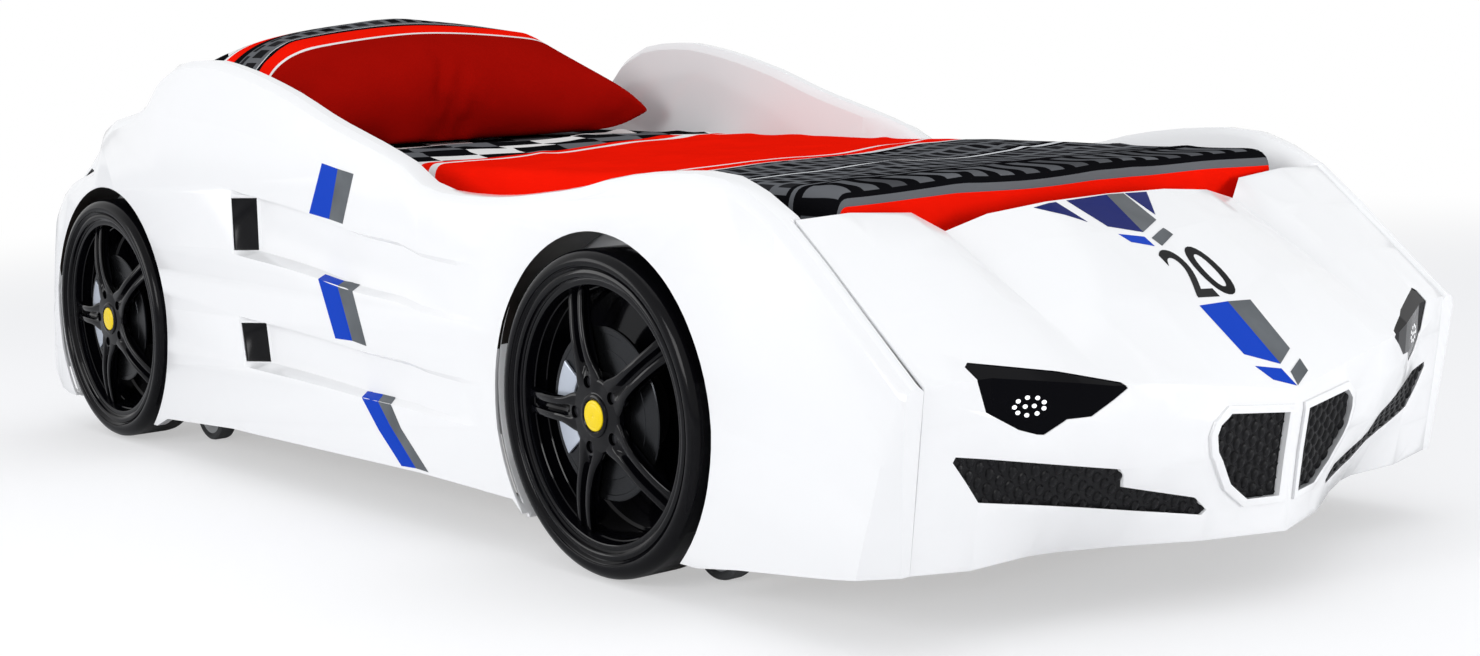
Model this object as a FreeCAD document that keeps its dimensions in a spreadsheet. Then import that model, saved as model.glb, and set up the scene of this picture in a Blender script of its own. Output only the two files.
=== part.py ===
import FreeCAD, Part
import math
import os
import Sketcher
from FreeCAD import Placement, Rotation, Vector

# Car bed for children. Millimetres, +Z up, the nose points to -Y, X runs across.

doc = FreeCAD.newDocument("CarBed")

SIZES = {
    "mattress_width": 800.0,
    "mattress_length": 1900.0,
    "mattress_height": 165.0,
    "side_gap": 10.0,
    "end_gap": 4.0,
    "foot_y": -872.5,
    "board_thick": 16.0,
    "board_bottom": 132.0,
    "board_top": 430.0,
    "head_top": 520.0,
    "ledger_side": 30.0,
    "slat_level": 316.0,
    "slat_thick": 14.0,
    "slat_width": 70.0,
    "slat_pitch": 146.0,
    "slat_count": 13.0,
    "beam_width": 44.0,
    "beam_height": 60.0,
    "bearer_width": 110.0,
    "bearer_height": 40.0,
    "corner_block": 38.0,
    "skin_thick": 4.0,
    "skin_gap": 0.3,
    "tyre_radius": 210.0,
    "tyre_width": 93.0,
    "tyre_bead_radius": 184.0,
    "tyre_shoulder": 14.0,
    "tyre_lip": 8.0,
    "tyre_edge": 4.0,
    "wheel_lift": 4.0,
    "front_wheel_y": -527.5,
    "rear_wheel_y": 943.5,
    "wheel_well_gap": 5.0,
    "arch_gap": 22.0,
    "rim_opening_radius": 165.0,
    "rim_play": 0.3,
    "rim_step": 9.0,
    "rim_back": 8.0,
    "rim_back_wall": 4.0,
    "rim_skin": 3.0,
    "rim_lip_depth": 4.0,
    "rim_chamfer": 2.0,
    "spacer_play": 1.0,
    "rim_face_depth": 5.0,
    "spoke_count": 5.0,
    "spoke_thick": 16.0,
    "spoke_width": 34.0,
    "spoke_root_width": 54.0,
    "spoke_root_end": 78.0,
    "spoke_groove_start": 62.0,
    "spoke_groove_width": 10.0,
    "spoke_groove_depth": 9.0,
    "hub_radius": 48.0,
    "hub_ring_radius": 27.0,
    "hub_ring_height": 3.0,
    "cap_radius": 20.0,
    "cap_height": 5.0,
    "disc_radius": 112.0,
    "disc_thick": 6.0,
    "spacer_radius": 54.0,
    "bolt_circle_radius": 44.0,
    "bolt_count": 5.0,
    "bolt_radius": 4.0,
    "bolt_head_radius": 7.0,
    "bolt_head": 5.0,
    "bolt_recess": 9.0,
    "bolt_play": 0.2,
    "bolt_in_board": 12.0,
    "castor_radius": 50.0,
    "castor_width": 32.0,
    "castor_front_y": -630.0,
    "castor_rear_y": 795.0,
    "castor_axle_radius": 5.0,
    "axle_play": 0.05,
    "fork_wall": 3.0,
    "fork_gap": 2.0,
    "fork_width": 52.0,
    "fork_cheek_width": 35.0,
    "plate_length": 92.0,
    "plate_thick": 3.0,
    "castor_screw_radius": 3.0,
    "castor_screw_head": 5.0,
    "castor_screw_length": 25.0,
    "castor_screw_edge": 8.0,
    "cover_thick": 8.0,
    "cover_edge": 3.5,
    "cover_drop": 60.0,
    "mattress_round": 20.0,
    "cover_round": 24.0,
    "pillow_width": 740.0,
    "pillow_depth": 500.0,
    "pillow_height": 184.0,
    "led_radius": 2.4,
    "led_play": 0.1,
    "led_depth": 7.0,
    "panel_screw_count": 5.0,
    "panel_screw_radius": 2.5,
    "panel_screw_head": 4.5,
    "panel_screw_depth": 12.0,
    "panel_screw_drop": 18.0,
}

sheet = doc.addObject("Spreadsheet::Sheet", "Sizes")
for row, (name, value) in enumerate(SIZES.items(), start=1):
    sheet.set(f"A{row}", name)
    sheet.set(f"B{row}", str(value))
    sheet.setAlias(f"B{row}", name)
doc.recompute()


class Size:
    """A number together with the sheet expression that it comes from."""

    def __init__(self, value, text):
        self.value = value
        self.text = text

    def __add__(self, other):
        other = as_size(other)
        return Size(self.value + other.value, f"({self.text} + {other.text})")

    def __sub__(self, other):
        other = as_size(other)
        return Size(self.value - other.value, f"({self.text} - {other.text})")

    def __mul__(self, other):
        other = as_size(other)
        return Size(self.value * other.value, f"({self.text} * {other.text})")

    def __truediv__(self, other):
        other = as_size(other)
        return Size(self.value / other.value, f"({self.text} / {other.text})")

    def __neg__(self):
        return self * -1.0

    def __radd__(self, other):
        return as_size(other) + self

    def __rsub__(self, other):
        return as_size(other) - self

    def __rmul__(self, other):
        return as_size(other) * self


def as_size(value):
    if isinstance(value, Size):
        return value
    return Size(float(value), f"({float(value)})")


def size(name):
    return Size(SIZES[name], f"Sizes.{name}")


# Derived places, each one still bound to the sheet.
board_in = size("mattress_width") / 2 + size("side_gap")
board_out = board_in + size("board_thick")
tyre_in = board_out + size("wheel_well_gap")
tyre_out = tyre_in + size("tyre_width")
wheel_z = size("tyre_radius") + size("wheel_lift")
foot_front = size("foot_y") - size("board_thick")
mattress_front = size("foot_y") + size("end_gap")
mattress_rear = mattress_front + size("mattress_length")
head_in = mattress_rear + size("end_gap")
head_out = head_in + size("board_thick")
mattress_low = size("slat_level") + size("slat_thick")
mattress_top = mattress_low + size("mattress_height")
castor_x = board_out - size("fork_width") / 2 - size("fork_gap")

SIDES = {"left": -1, "right": 1}
ENDS = {"front": size("front_wheel_y"), "rear": size("rear_wheel_y")}
EXPORTS = []


def keep(obj, label):
    """Name an object and put it on the list of parts to export."""
    obj.Label = label
    EXPORTS.append(obj)
    return obj


def bind(obj, properties):
    for name, value in properties.items():
        value = as_size(value)
        obj.setExpression(name, value.text)


def bind_place(obj, x, y, z):
    bind(obj, {"Placement.Base.x": x, "Placement.Base.y": y, "Placement.Base.z": z})


def block(name, lengths, place):
    obj = doc.addObject("Part::Box", name)
    bind(obj, dict(zip(("Length", "Width", "Height"), lengths)))
    bind_place(obj, *place)
    return obj


def rod(name, radius, height, place, axis=Vector(0, 0, 1)):
    obj = doc.addObject("Part::Cylinder", name)
    obj.Placement = Placement(Vector(), Rotation(Vector(0, 0, 1), axis))
    bind(obj, {"Radius": radius, "Height": height})
    bind_place(obj, *place)
    return obj


def group(name, members):
    obj = doc.addObject("Part::Compound", name)
    obj.Links = members
    return keep(obj, name)


def joined(name, members):
    obj = doc.addObject("Part::MultiFuse", name)
    obj.Shapes = list(members)
    return obj


def cut(name, base, tools):
    obj = doc.addObject("Part::Cut", name)
    obj.Base = base
    obj.Tool = joined(name + "_tools", tools) if len(tools) > 1 else tools[0]
    return obj


def plane_of(body, role):
    for feature in body.Origin.OriginFeatures:
        if feature.Role == role:
            return feature
    raise ValueError(role)


def outline(body, name, role, points):
    """Draw a closed line outline whose corners are bound to the sheet."""
    sketch = body.newObject("Sketcher::SketchObject", name)
    sketch.AttachmentSupport = [(plane_of(body, role), "")]
    sketch.MapMode = "FlatFace"
    spots = [(as_size(u), as_size(v)) for u, v in points]
    flat = [Vector(u.value, v.value, 0) for u, v in spots]
    for start, end in zip(flat, flat[1:] + flat[:1]):
        sketch.addGeometry(Part.LineSegment(start, end))
    for index, (u, v) in enumerate(spots):
        before = (index - 1) % len(spots)
        sketch.addConstraint(Sketcher.Constraint("Coincident", before, 2, index, 1))
        for kind, value in (("DistanceX", u), ("DistanceY", v)):
            number = sketch.addConstraint(Sketcher.Constraint(kind, index, 1, value.value))
            sketch.setExpression(f"Constraints[{number}]", value.text)
    return sketch


def revolved(body, name, sketch, axis):
    feature = body.newObject("PartDesign::Revolution", name)
    feature.Profile = sketch
    feature.ReferenceAxis = (sketch, [axis])
    feature.Angle = 360.0
    sketch.Visibility = False
    return feature


# Boards, ledgers, beams and slats: the wooden bed inside the plastic skins.
run_length = head_out - foot_front
board_height = size("board_top") - size("board_bottom")
ledger_low = size("slat_level") - size("ledger_side")
inner_width = board_in * 2

boards = {}
for side, sign in SIDES.items():
    outer_x = board_in if sign > 0 else -board_out
    ledger_x = board_in - size("ledger_side") if sign > 0 else -board_in
    boards[side] = block(f"{side}_board_blank", (size("board_thick"), run_length, board_height),
                         (outer_x, foot_front, size("board_bottom")))
    keep(block(f"{side}_ledger", (size("ledger_side"), head_in - size("foot_y"), size("ledger_side")),
               (ledger_x, size("foot_y"), ledger_low)), f"{side}_ledger")

keep(block("foot_board", (inner_width, size("board_thick"), board_height),
           (-board_in, foot_front, size("board_bottom"))), "foot_board")
keep(block("head_board", (inner_width, size("board_thick"), size("head_top") - size("board_bottom")),
           (-board_in, head_in, size("board_bottom"))), "head_board")
beam_low = size("slat_level") - size("beam_height")
keep(block("centre_beam", (size("beam_width"), head_in - size("foot_y"), size("beam_height")),
           (-size("beam_width") / 2, size("foot_y"), beam_low)), "centre_beam")

castor_places = {"front": size("castor_front_y"), "rear": size("castor_rear_y")}
bearers = {}
for end, place_y in castor_places.items():
    bearers[end] = block(f"{end}_bearer_blank", (inner_width, size("bearer_width"), size("bearer_height")),
                         (-board_in, place_y - size("bearer_width") / 2, size("board_bottom")))

slats = []
slat_room = head_in - size("foot_y")
slat_margin = (slat_room - size("slat_pitch") * (size("slat_count") - 1) - size("slat_width")) / 2
for index in range(int(SIZES["slat_count"])):
    slat_y = size("foot_y") + slat_margin + size("slat_pitch") * index
    slats.append(block(f"slat_{index + 1}", (inner_width, size("slat_width"), size("slat_thick")),
                       (-board_in, slat_y, size("slat_level"))))
group("slats", slats)

blocks = []
for side, sign in SIDES.items():
    block_x = board_in - size("corner_block") if sign > 0 else -board_in
    for end, place_y in (("foot", size("foot_y")), ("head", head_in - size("corner_block"))):
        blocks.append(block(f"{end}_{side}_block",
                            (size("corner_block"), size("corner_block"), ledger_low - size("board_bottom")),
                            (block_x, place_y, size("board_bottom"))))
group("corner_blocks", blocks)


# Decorative wheels: each one is fixed to the side board through a spacer and four bolts.
def wheel_body(name, sign, place_y):
    """A body whose X axis runs along the axle, with its origin at the tyre's inner face."""
    body = doc.addObject("PartDesign::Body", name)
    facing = Rotation(Vector(0, 0, 1), 0 if sign > 0 else 180)
    spin = Rotation(Vector(1, 0, 0), -90 * sign)
    body.Placement = Placement(Vector(), facing * spin)
    bind_place(body, tyre_in * sign, place_y, wheel_z)
    return body


def make_tyre(name, sign, place_y):
    body = wheel_body(name, sign, place_y)
    wide = size("tyre_width")
    tall = size("tyre_radius")
    bead = size("tyre_bead_radius")
    shoulder = size("tyre_shoulder")
    lip = size("tyre_lip")
    edge = size("tyre_edge")
    sidewall = tall - shoulder
    round_over = sidewall + shoulder / 2
    points = [(0, bead), (wide - lip, bead), (wide - lip, bead + edge), (wide - edge / 2, bead + lip),
              (wide, bead + shoulder), (wide - edge / 4, sidewall), (wide - edge, round_over),
              (wide - shoulder, tall), (shoulder, tall), (edge, round_over), (0, sidewall)]
    sketch = outline(body, name + "_profile", "XY_Plane", points)
    revolved(body, name + "_turned", sketch, "H_Axis")
    keep(body, name)


def make_rim(name, sign, place_y, holes):
    body = wheel_body(name + "_casting", sign, place_y)
    wide = size("tyre_width")
    bead = size("tyre_bead_radius")
    play = size("rim_play")
    opening = size("rim_opening_radius")
    step = size("rim_step")
    front = wide - size("rim_face_depth")
    back = front - size("spoke_thick")
    cap = size("cap_radius") + play
    ring = size("hub_ring_radius")
    ring_front = front + size("hub_ring_height")
    hub = size("hub_radius")
    rear = size("rim_back")
    wall = rear + size("rim_back_wall")
    thin = size("rim_skin")
    chamfer = size("rim_chamfer")
    face = wide - size("rim_lip_depth")
    hole = size("spacer_radius") + size("spacer_play")

    # The dish with its back wall and stepped lip, then the hub with the ring round the centre cap.
    lip = [(rear, hole), (wall, hole), (wall, opening - thin), (back, opening - thin),
           (back + thin, opening), (wide - step, opening), (wide - step, opening + step),
           (face, opening + step + chamfer), (face, bead + thin), (face - thin, bead + thin),
           (face - thin, bead - play), (rear, bead - play)]
    barrel = outline(body, name + "_barrel_profile", "XY_Plane", lip)
    revolved(body, name + "_barrel", barrel, "H_Axis")
    seat_floor = front - chamfer / 2
    seat = [(back, 0), (seat_floor, 0), (seat_floor, cap), (ring_front, cap), (ring_front, ring),
            (front, ring + chamfer / 2), (front, hub), (back, hub)]
    boss = outline(body, name + "_hub_profile", "XY_Plane", seat)
    revolved(body, name + "_hub", boss, "H_Axis")
    doc.recompute()

    # One spoke: two ribs with a groove between them, spreading into the star at the hub.
    start = ring + chamfer
    bend = size("spoke_root_end")
    reach = opening + chamfer
    half = size("spoke_width") / 2
    root = size("spoke_root_width") / 2
    blade = outline(body, name + "_spoke_profile", "YZ_Plane",
                    [(-root, start), (root, start), (half, bend), (half, reach),
                     (-half, reach), (-half, bend)])
    bind(blade, {"AttachmentOffset.Base.z": back})
    pad = body.newObject("PartDesign::Pad", name + "_spoke")
    pad.Profile = blade
    bind(pad, {"Length": size("spoke_thick")})
    blade.Visibility = False
    doc.recompute()
    groove_half = size("spoke_groove_width") / 2
    groove_start = size("spoke_groove_start")
    groove_end = opening - step
    window = outline(body, name + "_groove_profile", "YZ_Plane",
                     [(-groove_half, groove_start), (groove_half, groove_start),
                      (groove_half, groove_end), (-groove_half, groove_end)])
    bind(window, {"AttachmentOffset.Base.z": front})
    groove = body.newObject("PartDesign::Pocket", name + "_spoke_groove")
    groove.Profile = window
    bind(groove, {"Length": size("spoke_groove_depth")})
    window.Visibility = False
    doc.recompute()
    fan = body.newObject("PartDesign::PolarPattern", name + "_spokes")
    fan.Originals = [pad, groove]
    fan.Axis = (barrel, ["H_Axis"])
    fan.Angle = 360.0
    fan.Occurrences = int(SIZES["spoke_count"])
    bind(fan, {"Occurrences": size("spoke_count")})
    body.Tip = fan
    doc.recompute()
    keep(cut(name, body, holes), name)


def bolt_rods(name, sign, place_y, start, length, radius):
    """Rods on the bolt circle of one wheel, starting at a distance from the middle of the bed."""
    rods = []
    for index in range(int(SIZES["bolt_count"])):
        angle = 2 * math.pi * index / SIZES["bolt_count"]
        spot_y = place_y + size("bolt_circle_radius") * math.cos(angle)
        spot_z = wheel_z + size("bolt_circle_radius") * math.sin(angle)
        rods.append(rod(f"{name}_{index + 1}", radius, length, (start * sign, spot_y, spot_z),
                        Vector(sign, 0, 0)))
    return rods


spacers = []
bolts = []
board_holes = {"left": [], "right": []}
for end, place_y in ENDS.items():
    for side, sign in SIDES.items():
        corner = f"{end}_{side}"
        axle = Vector(sign, 0, 0)
        hub_face = tyre_out - size("rim_face_depth")
        hub_back = hub_face - size("spoke_thick")
        disc_face = hub_back - size("disc_thick")
        bolt_hole = size("bolt_radius") + size("bolt_play")
        whole_way = tyre_out - board_out
        make_tyre(f"{corner}_tyre", sign, place_y)
        head_seat = hub_face - size("bolt_recess")
        recesses = bolt_rods(f"{corner}_recess", sign, place_y, head_seat, size("bolt_recess") * 2,
                             size("bolt_head_radius") + 1)
        make_rim(f"{corner}_rim", sign, place_y, recesses + bolt_rods(
            f"{corner}_rim_hole", sign, place_y, board_out, whole_way, bolt_hole))
        keep(rod(f"{corner}_centre_cap", size("cap_radius"), size("cap_height"),
                 ((hub_face - 1) * sign, place_y, wheel_z), axle), f"{corner}_centre_cap")
        disc = rod(f"{corner}_disc_blank", size("disc_radius"), size("disc_thick"),
                   (disc_face * sign, place_y, wheel_z), axle)
        keep(cut(f"{corner}_brake_disc", disc,
                 bolt_rods(f"{corner}_disc_hole", sign, place_y, board_out, whole_way, bolt_hole)),
             f"{corner}_brake_disc")
        spacer = rod(f"{corner}_spacer_blank", size("spacer_radius"),
                     disc_face - board_out, (board_out * sign, place_y, wheel_z), axle)
        spacer_holes = bolt_rods(f"{corner}_spacer_hole", sign, place_y, board_out, whole_way, bolt_hole)
        spacers.append(cut(f"{corner}_spacer", spacer, spacer_holes))
        bolt_start = board_out - size("bolt_in_board")
        shanks = bolt_rods(f"{corner}_bolt_shank", sign, place_y, bolt_start, head_seat - bolt_start,
                           size("bolt_radius"))
        heads = bolt_rods(f"{corner}_bolt_head", sign, place_y, head_seat, size("bolt_head"),
                          size("bolt_head_radius"))
        bolts += [joined(f"{corner}_bolt_{number}", pair)
                  for number, pair in enumerate(zip(shanks, heads))]
        board_holes[side] += bolt_rods(f"{corner}_board_hole", sign, place_y, bolt_start,
                                       size("bolt_in_board"), bolt_hole)
group("wheel_spacers", spacers)
group("wheel_bolts", bolts)


# Fixed castors under the bearers: plate, fork, axle and a rubber-tyred wheel that rolls.
fork_top = size("board_bottom") - size("plate_thick")
fork_outer = size("castor_width") + (size("fork_gap") + size("fork_wall")) * 2
forks = []
axles = []
castor_screws = []
bearer_holes = {"front": [], "rear": []}


def plate_rods(name, centre_x, place_y, low, length, radius):
    """Upright rods at the four screw places of one castor plate."""
    inset = size("castor_screw_edge")
    rods = []
    for x_sign in (-1, 1):
        for y_sign in (-1, 1):
            spot_x = centre_x + (size("fork_width") / 2 - inset) * x_sign
            spot_y = place_y + (size("plate_length") / 2 - inset) * y_sign
            rods.append(rod(f"{name}_{len(rods) + 1}", radius, length, (spot_x, spot_y, low)))
    return rods


for end, place_y in castor_places.items():
    for side, sign in SIDES.items():
        corner = f"{end}_{side}"
        centre_x = castor_x * sign
        middle = size("castor_radius")
        wheel = rod(f"{corner}_castor_disc", size("castor_radius"), size("castor_width"),
                    (centre_x - size("castor_width") / 2, place_y, middle), Vector(1, 0, 0))
        bore = rod(f"{corner}_castor_bore", size("castor_axle_radius") + size("axle_play"),
                   size("castor_width") + 2, (centre_x - size("castor_width") / 2 - 1, place_y, middle),
                   Vector(1, 0, 0))
        keep(cut(f"{corner}_castor_wheel", wheel, [bore]), f"{corner}_castor_wheel")
        axles.append(rod(f"{corner}_castor_axle", size("castor_axle_radius"), fork_outer,
                         (centre_x - fork_outer / 2, place_y, middle), Vector(1, 0, 0)))
        plate = block(f"{corner}_castor_plate",
                      (size("fork_width"), size("plate_length"), size("plate_thick")),
                      (centre_x - size("fork_width") / 2, place_y - size("plate_length") / 2, fork_top))
        legs = []
        for leg, leg_x in (("inner", centre_x - fork_outer / 2),
                           ("outer", centre_x + fork_outer / 2 - size("fork_wall"))):
            width = size("fork_cheek_width")
            cheek = block(f"{corner}_{leg}_cheek", (size("fork_wall"), width, fork_top - middle),
                          (leg_x, place_y - width / 2, middle))
            ear = rod(f"{corner}_{leg}_ear", width / 2, size("fork_wall"), (leg_x, place_y, middle),
                      Vector(1, 0, 0))
            legs += [cheek, ear]
        whole = joined(f"{corner}_castor_frame", [plate] + legs)
        hole = rod(f"{corner}_fork_hole", size("castor_axle_radius") + size("axle_play"), fork_outer + 2,
                   (centre_x - fork_outer / 2 - 1, place_y, middle), Vector(1, 0, 0))
        screw_low = fork_top - size("plate_thick")
        screw_radius = size("castor_screw_radius")
        screw_hole = screw_radius + size("bolt_play")
        screw_reach = size("castor_screw_length")
        plate_holes = plate_rods(f"{corner}_plate_hole", centre_x, place_y, fork_top,
                                 size("plate_thick"), screw_hole)
        forks.append(cut(f"{corner}_castor_fork", whole, [hole] + plate_holes))
        deep_holes = plate_rods(f"{corner}_bearer_hole", centre_x, place_y, fork_top, screw_reach,
                                screw_hole)
        bearer_holes[end] += deep_holes
        board_holes[side] += deep_holes
        shanks = plate_rods(f"{corner}_screw_shank", centre_x, place_y, screw_low, screw_reach,
                            screw_radius)
        heads = plate_rods(f"{corner}_screw_head", centre_x, place_y, screw_low, size("plate_thick"),
                           size("castor_screw_head"))
        castor_screws += [joined(f"{corner}_screw_{number}", pair)
                          for number, pair in enumerate(zip(shanks, heads))]
    keep(cut(f"{end}_castor_bearer", bearers[end], bearer_holes[end]), f"{end}_castor_bearer")
group("castor_forks", forks)
group("castor_axles", axles)
group("castor_screws", castor_screws)


# Moulded skins. They are drawn as cross-sections that are lofted in straight strips, because the
# real panels are vacuum-formed sheet with flat facets and soft creases. Their lines are heights
# above the floor and places along a bed whose boards run from DRAWN_FOOT to DRAWN_HEAD.
DRAWN_FOOT = -878.0
DRAWN_HEAD = 1062.0
SKIN = SIZES["skin_thick"]
GAP = SIZES["skin_gap"]
FLANK = tyre_out.value - 8.0
SEAM = FLANK - 34.0
HIP = board_out.value


def along(y):
    """Move a drawn place along the bed to where it lies on the bed being built."""
    foot = foot_front.value
    head = head_out.value
    if y < DRAWN_FOOT:
        return foot + y - DRAWN_FOOT
    if y > DRAWN_HEAD:
        return head + y - DRAWN_HEAD
    return foot + (y - DRAWN_FOOT) * (head - foot) / (DRAWN_HEAD - DRAWN_FOOT)


def on_line(line, y):
    """Height of a line of (y, z) corners at y; the corners run from the tail to the nose."""
    for (y0, z0), (y1, z1) in zip(line, line[1:]):
        if y1 <= y <= y0:
            return z0 + (z1 - z0) * (y0 - y) / (y0 - y1)
    return line[0][1] if y > line[0][0] else line[-1][1]


def on_curve(line, y):
    """Height of a smooth curve through (y, z) corners, which never swings past a corner."""
    spots = sorted(line)
    steps = [(z1 - z0) / (y1 - y0) for (y0, z0), (y1, z1) in zip(spots, spots[1:])]
    inner = [2 * a * b / (a + b) if a * b > 0 else 0.0 for a, b in zip(steps, steps[1:])]
    slopes = steps[:1] + inner + steps[-1:]
    for (y0, z0), (y1, z1), slope0, slope1 in zip(spots, spots[1:], slopes, slopes[1:]):
        if y0 <= y <= y1:
            share = (y - y0) / (y1 - y0)
            rest = 1.0 - share
            blend = share * share * (3.0 - 2.0 * share)
            swing = slope0 * share * rest * rest - slope1 * share * share * rest
            return z0 + (z1 - z0) * blend + (y1 - y0) * swing
    return spots[0][1] if y < spots[0][0] else spots[-1][1]


def offset_line(points, distance):
    """Offset an open line of 2-D points to its right-hand side, with mitred corners."""
    directions = []
    for (u0, v0), (u1, v1) in zip(points, points[1:]):
        length = math.hypot(u1 - u0, v1 - v0)
        directions.append(((u1 - u0) / length, (v1 - v0) / length))
    moved = []
    for index, (u, v) in enumerate(points):
        before = directions[max(index - 1, 0)]
        after = directions[min(index, len(directions) - 1)]
        normal = (before[1] + after[1], -before[0] - after[0])
        share = 1.0 + before[0] * after[0] + before[1] * after[1]
        reach = distance / max(share, 0.5)
        moved.append((u + normal[0] * reach, v + normal[1] * reach))
    return moved


def loft(sections):
    """Loft closed cross-sections, each a list of places, in straight strips."""
    wires = [Part.makePolygon(spots + spots[:1]) for spots in sections]
    solid = Part.makeLoft(wires, True, True)
    if solid.Volume < 0:
        solid.reverse()
    return solid


def skin_section(line, lift, inside=SKIN, outside=0.0):
    """A cross-section of moulded sheet along a line; lift turns a 2-D point into a place."""
    outer = offset_line(line, -outside) if outside else line
    return [lift(point) for point in outer + offset_line(line, -inside)[::-1]]


def feature(name, shape):
    obj = doc.addObject("Part::Feature", name)
    obj.Shape = shape
    return keep(obj, name)


def mirrored(shape, sign):
    return shape if sign > 0 else shape.mirror(Vector(), Vector(1, 0, 0))


# Lines of the side skin, from the tail to the nose.
TOP_LINE = [(1212, 300), (1185, 400), (1120, 447), (1000, 480), (960, 545), (925, 562), (800, 583),
            (728, 636), (640, 662), (554, 664), (474, 655), (305, 618), (164, 574), (31, 539), (-60, 511),
            (-105, 488), (-165, 479), (-232, 478), (-453, 496), (-556, 515), (-654, 524), (-740, 526),
            (-800, 511), (-871, 476), (-973, 391), (-1075, 306)]
BELT_LINE = [(1212, 270), (1185, 372), (1120, 425), (1000, 462), (960, 520), (925, 540), (800, 566),
             (728, 574), (575, 572), (430, 552), (287, 535), (180, 517), (78, 497), (-48, 486),
             (-105, 472), (-232, 466), (-453, 480), (-556, 496), (-654, 506), (-740, 508), (-800, 494),
             (-871, 460), (-973, 376), (-1075, 292)]
SILL_LINE = [(1212, 100), (1180, 60), (784, 43), (740, 60), (498, 73), (-43, 81), (-320, 78), (-352, 54),
             (-716, 52), (-793, 63), (-969, 82), (-1046, 93)]
STATION_STEP = 48.0
TAIL_STATIONS = (1212, 1200, 1185, 1155, 1120, 1088, 1058)
VENT_REAR = 467.0
VENT_FRONT = 423.0
SCOOP_END = -250.0
SCOOP_DEPTH = 30.0
LOWER_SCOOP = (0.22, 0.385)
UPPER_SCOOP = (0.59, 0.80)
SCOOP_EDGE = 7.0
LOWER_VENT_LEAN = 40.0
ARCH_START = 14.0
ARCH_FOOT = 56.0
ARCH_CUT_DEPTH = 200.0
ARCH_LINER_SET_BACK = 5.0
FLANGE_BELOW_TOP = 35.0
NOSE_FLANGE = 44.0


def scoop_depth(y):
    if y >= VENT_REAR or y <= SCOOP_END:
        return 0.0
    if y > VENT_FRONT:
        return SCOOP_DEPTH * (VENT_REAR - y) / (VENT_REAR - VENT_FRONT)
    return SCOOP_DEPTH * (y - SCOOP_END) / (VENT_FRONT - SCOOP_END)


def side_outline(y, top, sill, belt, closed):
    """Outer line of the side skin at y: up the flank, over the rim, down to the inner flange."""
    depth = scoop_depth(y)
    low, high = (sill + share * (belt - sill) for share in LOWER_SCOOP)
    upper_low, upper_high = (sill + share * (belt - sill) for share in UPPER_SCOOP)
    middle = (belt + top) / 2
    line = [(FLANK - 12, sill), (FLANK + 4, sill),
            (FLANK + 3, low), (FLANK + 3 - depth, low + SCOOP_EDGE),
            (FLANK + 1 - depth, high - SCOOP_EDGE), (FLANK + 1, high),
            (FLANK, upper_low), (FLANK - depth, upper_low + SCOOP_EDGE),
            (FLANK - 3 - depth, upper_high - SCOOP_EDGE), (FLANK - 3, upper_high),
            (FLANK - 6, belt), (FLANK - 10, middle), (FLANK - 15, top - (top - belt) * 0.12)]
    if closed:
        return line + [(FLANK - 20, top), (SEAM + 7, top), (SEAM, top - 5), (SEAM, top - 20),
                       (SEAM, top - NOSE_FLANGE)]
    board_top = SIZES["board_top"]
    return line + [(FLANK - 26, top), (FLANK - 42, top), (FLANK - 54, top - 12), (HIP + 2, board_top + 4),
                   (HIP, board_top - FLANGE_BELOW_TOP)]


def side_station(y, closed):
    """One cross-section of the side skin, across the bed."""
    sill = on_line(SILL_LINE, y)
    belt = on_curve(BELT_LINE, y)
    split = sill + 0.5 * (belt - sill)

    def lean(z):
        if not SCOOP_END < y <= VENT_REAR or z > split:
            return 0.0
        return -LOWER_VENT_LEAN * (split - z) / (split - sill)

    line = side_outline(y, on_curve(TOP_LINE, y), sill, belt, closed)
    return skin_section(line, lambda spot: Vector(spot[0], along(y + lean(spot[1])), spot[1]))


def nose_station(bottom, top, inset):
    """A cross-section of the side skin that leans along the seam with the hood."""
    (bottom_y, bottom_z), (top_y, top_z) = bottom, top
    slope = (top_y - bottom_y) / (top_z - bottom_z)
    line = []
    for x, z in side_outline(bottom_y, top_z, bottom_z, top_z - 14, True):
        share = min(max((z - bottom_z) / (top_z - bottom_z), 0.0), 1.0)
        pull = inset * (1.0 - share) if x > SEAM + 20 else 0.0
        line.append((max(x - pull, SEAM), z))

    def lift(spot):
        return Vector(spot[0], along(bottom_y + slope * (spot[1] - bottom_z)), spot[1])

    return skin_section(line, lift)


def end_wall(section, inward):
    """The wall that closes the hollow end of the side skin, one skin thick."""
    outer = section[:len(section) // 2]
    heel = Vector(SEAM, outer[0].y, outer[0].z)
    face = Part.Face(Part.makePolygon(outer + [heel, outer[0]]))
    return face.extrude(Vector(0, inward * SKIN, 0))


def arch_tools(place_y):
    """The cutter for a wheel arch, and the liner that returns from its edge."""
    radius = SIZES["tyre_radius"] + SIZES["arch_gap"]
    start = Vector(HIP + ARCH_START, place_y, wheel_z.value)
    across = Vector(1, 0, 0)
    cutter = Part.makeCylinder(radius, ARCH_CUT_DEPTH, start, across)
    tube = Part.makeCylinder(radius + SKIN, FLANK - ARCH_LINER_SET_BACK - start.x, start, across)
    liner = tube.cut(cutter)
    floor = Part.makeBox(ARCH_CUT_DEPTH, radius * 3, ARCH_FOOT + radius,
                         Vector(HIP, place_y - radius * 1.5, -radius))
    return cutter, liner.cut(floor)


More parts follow.
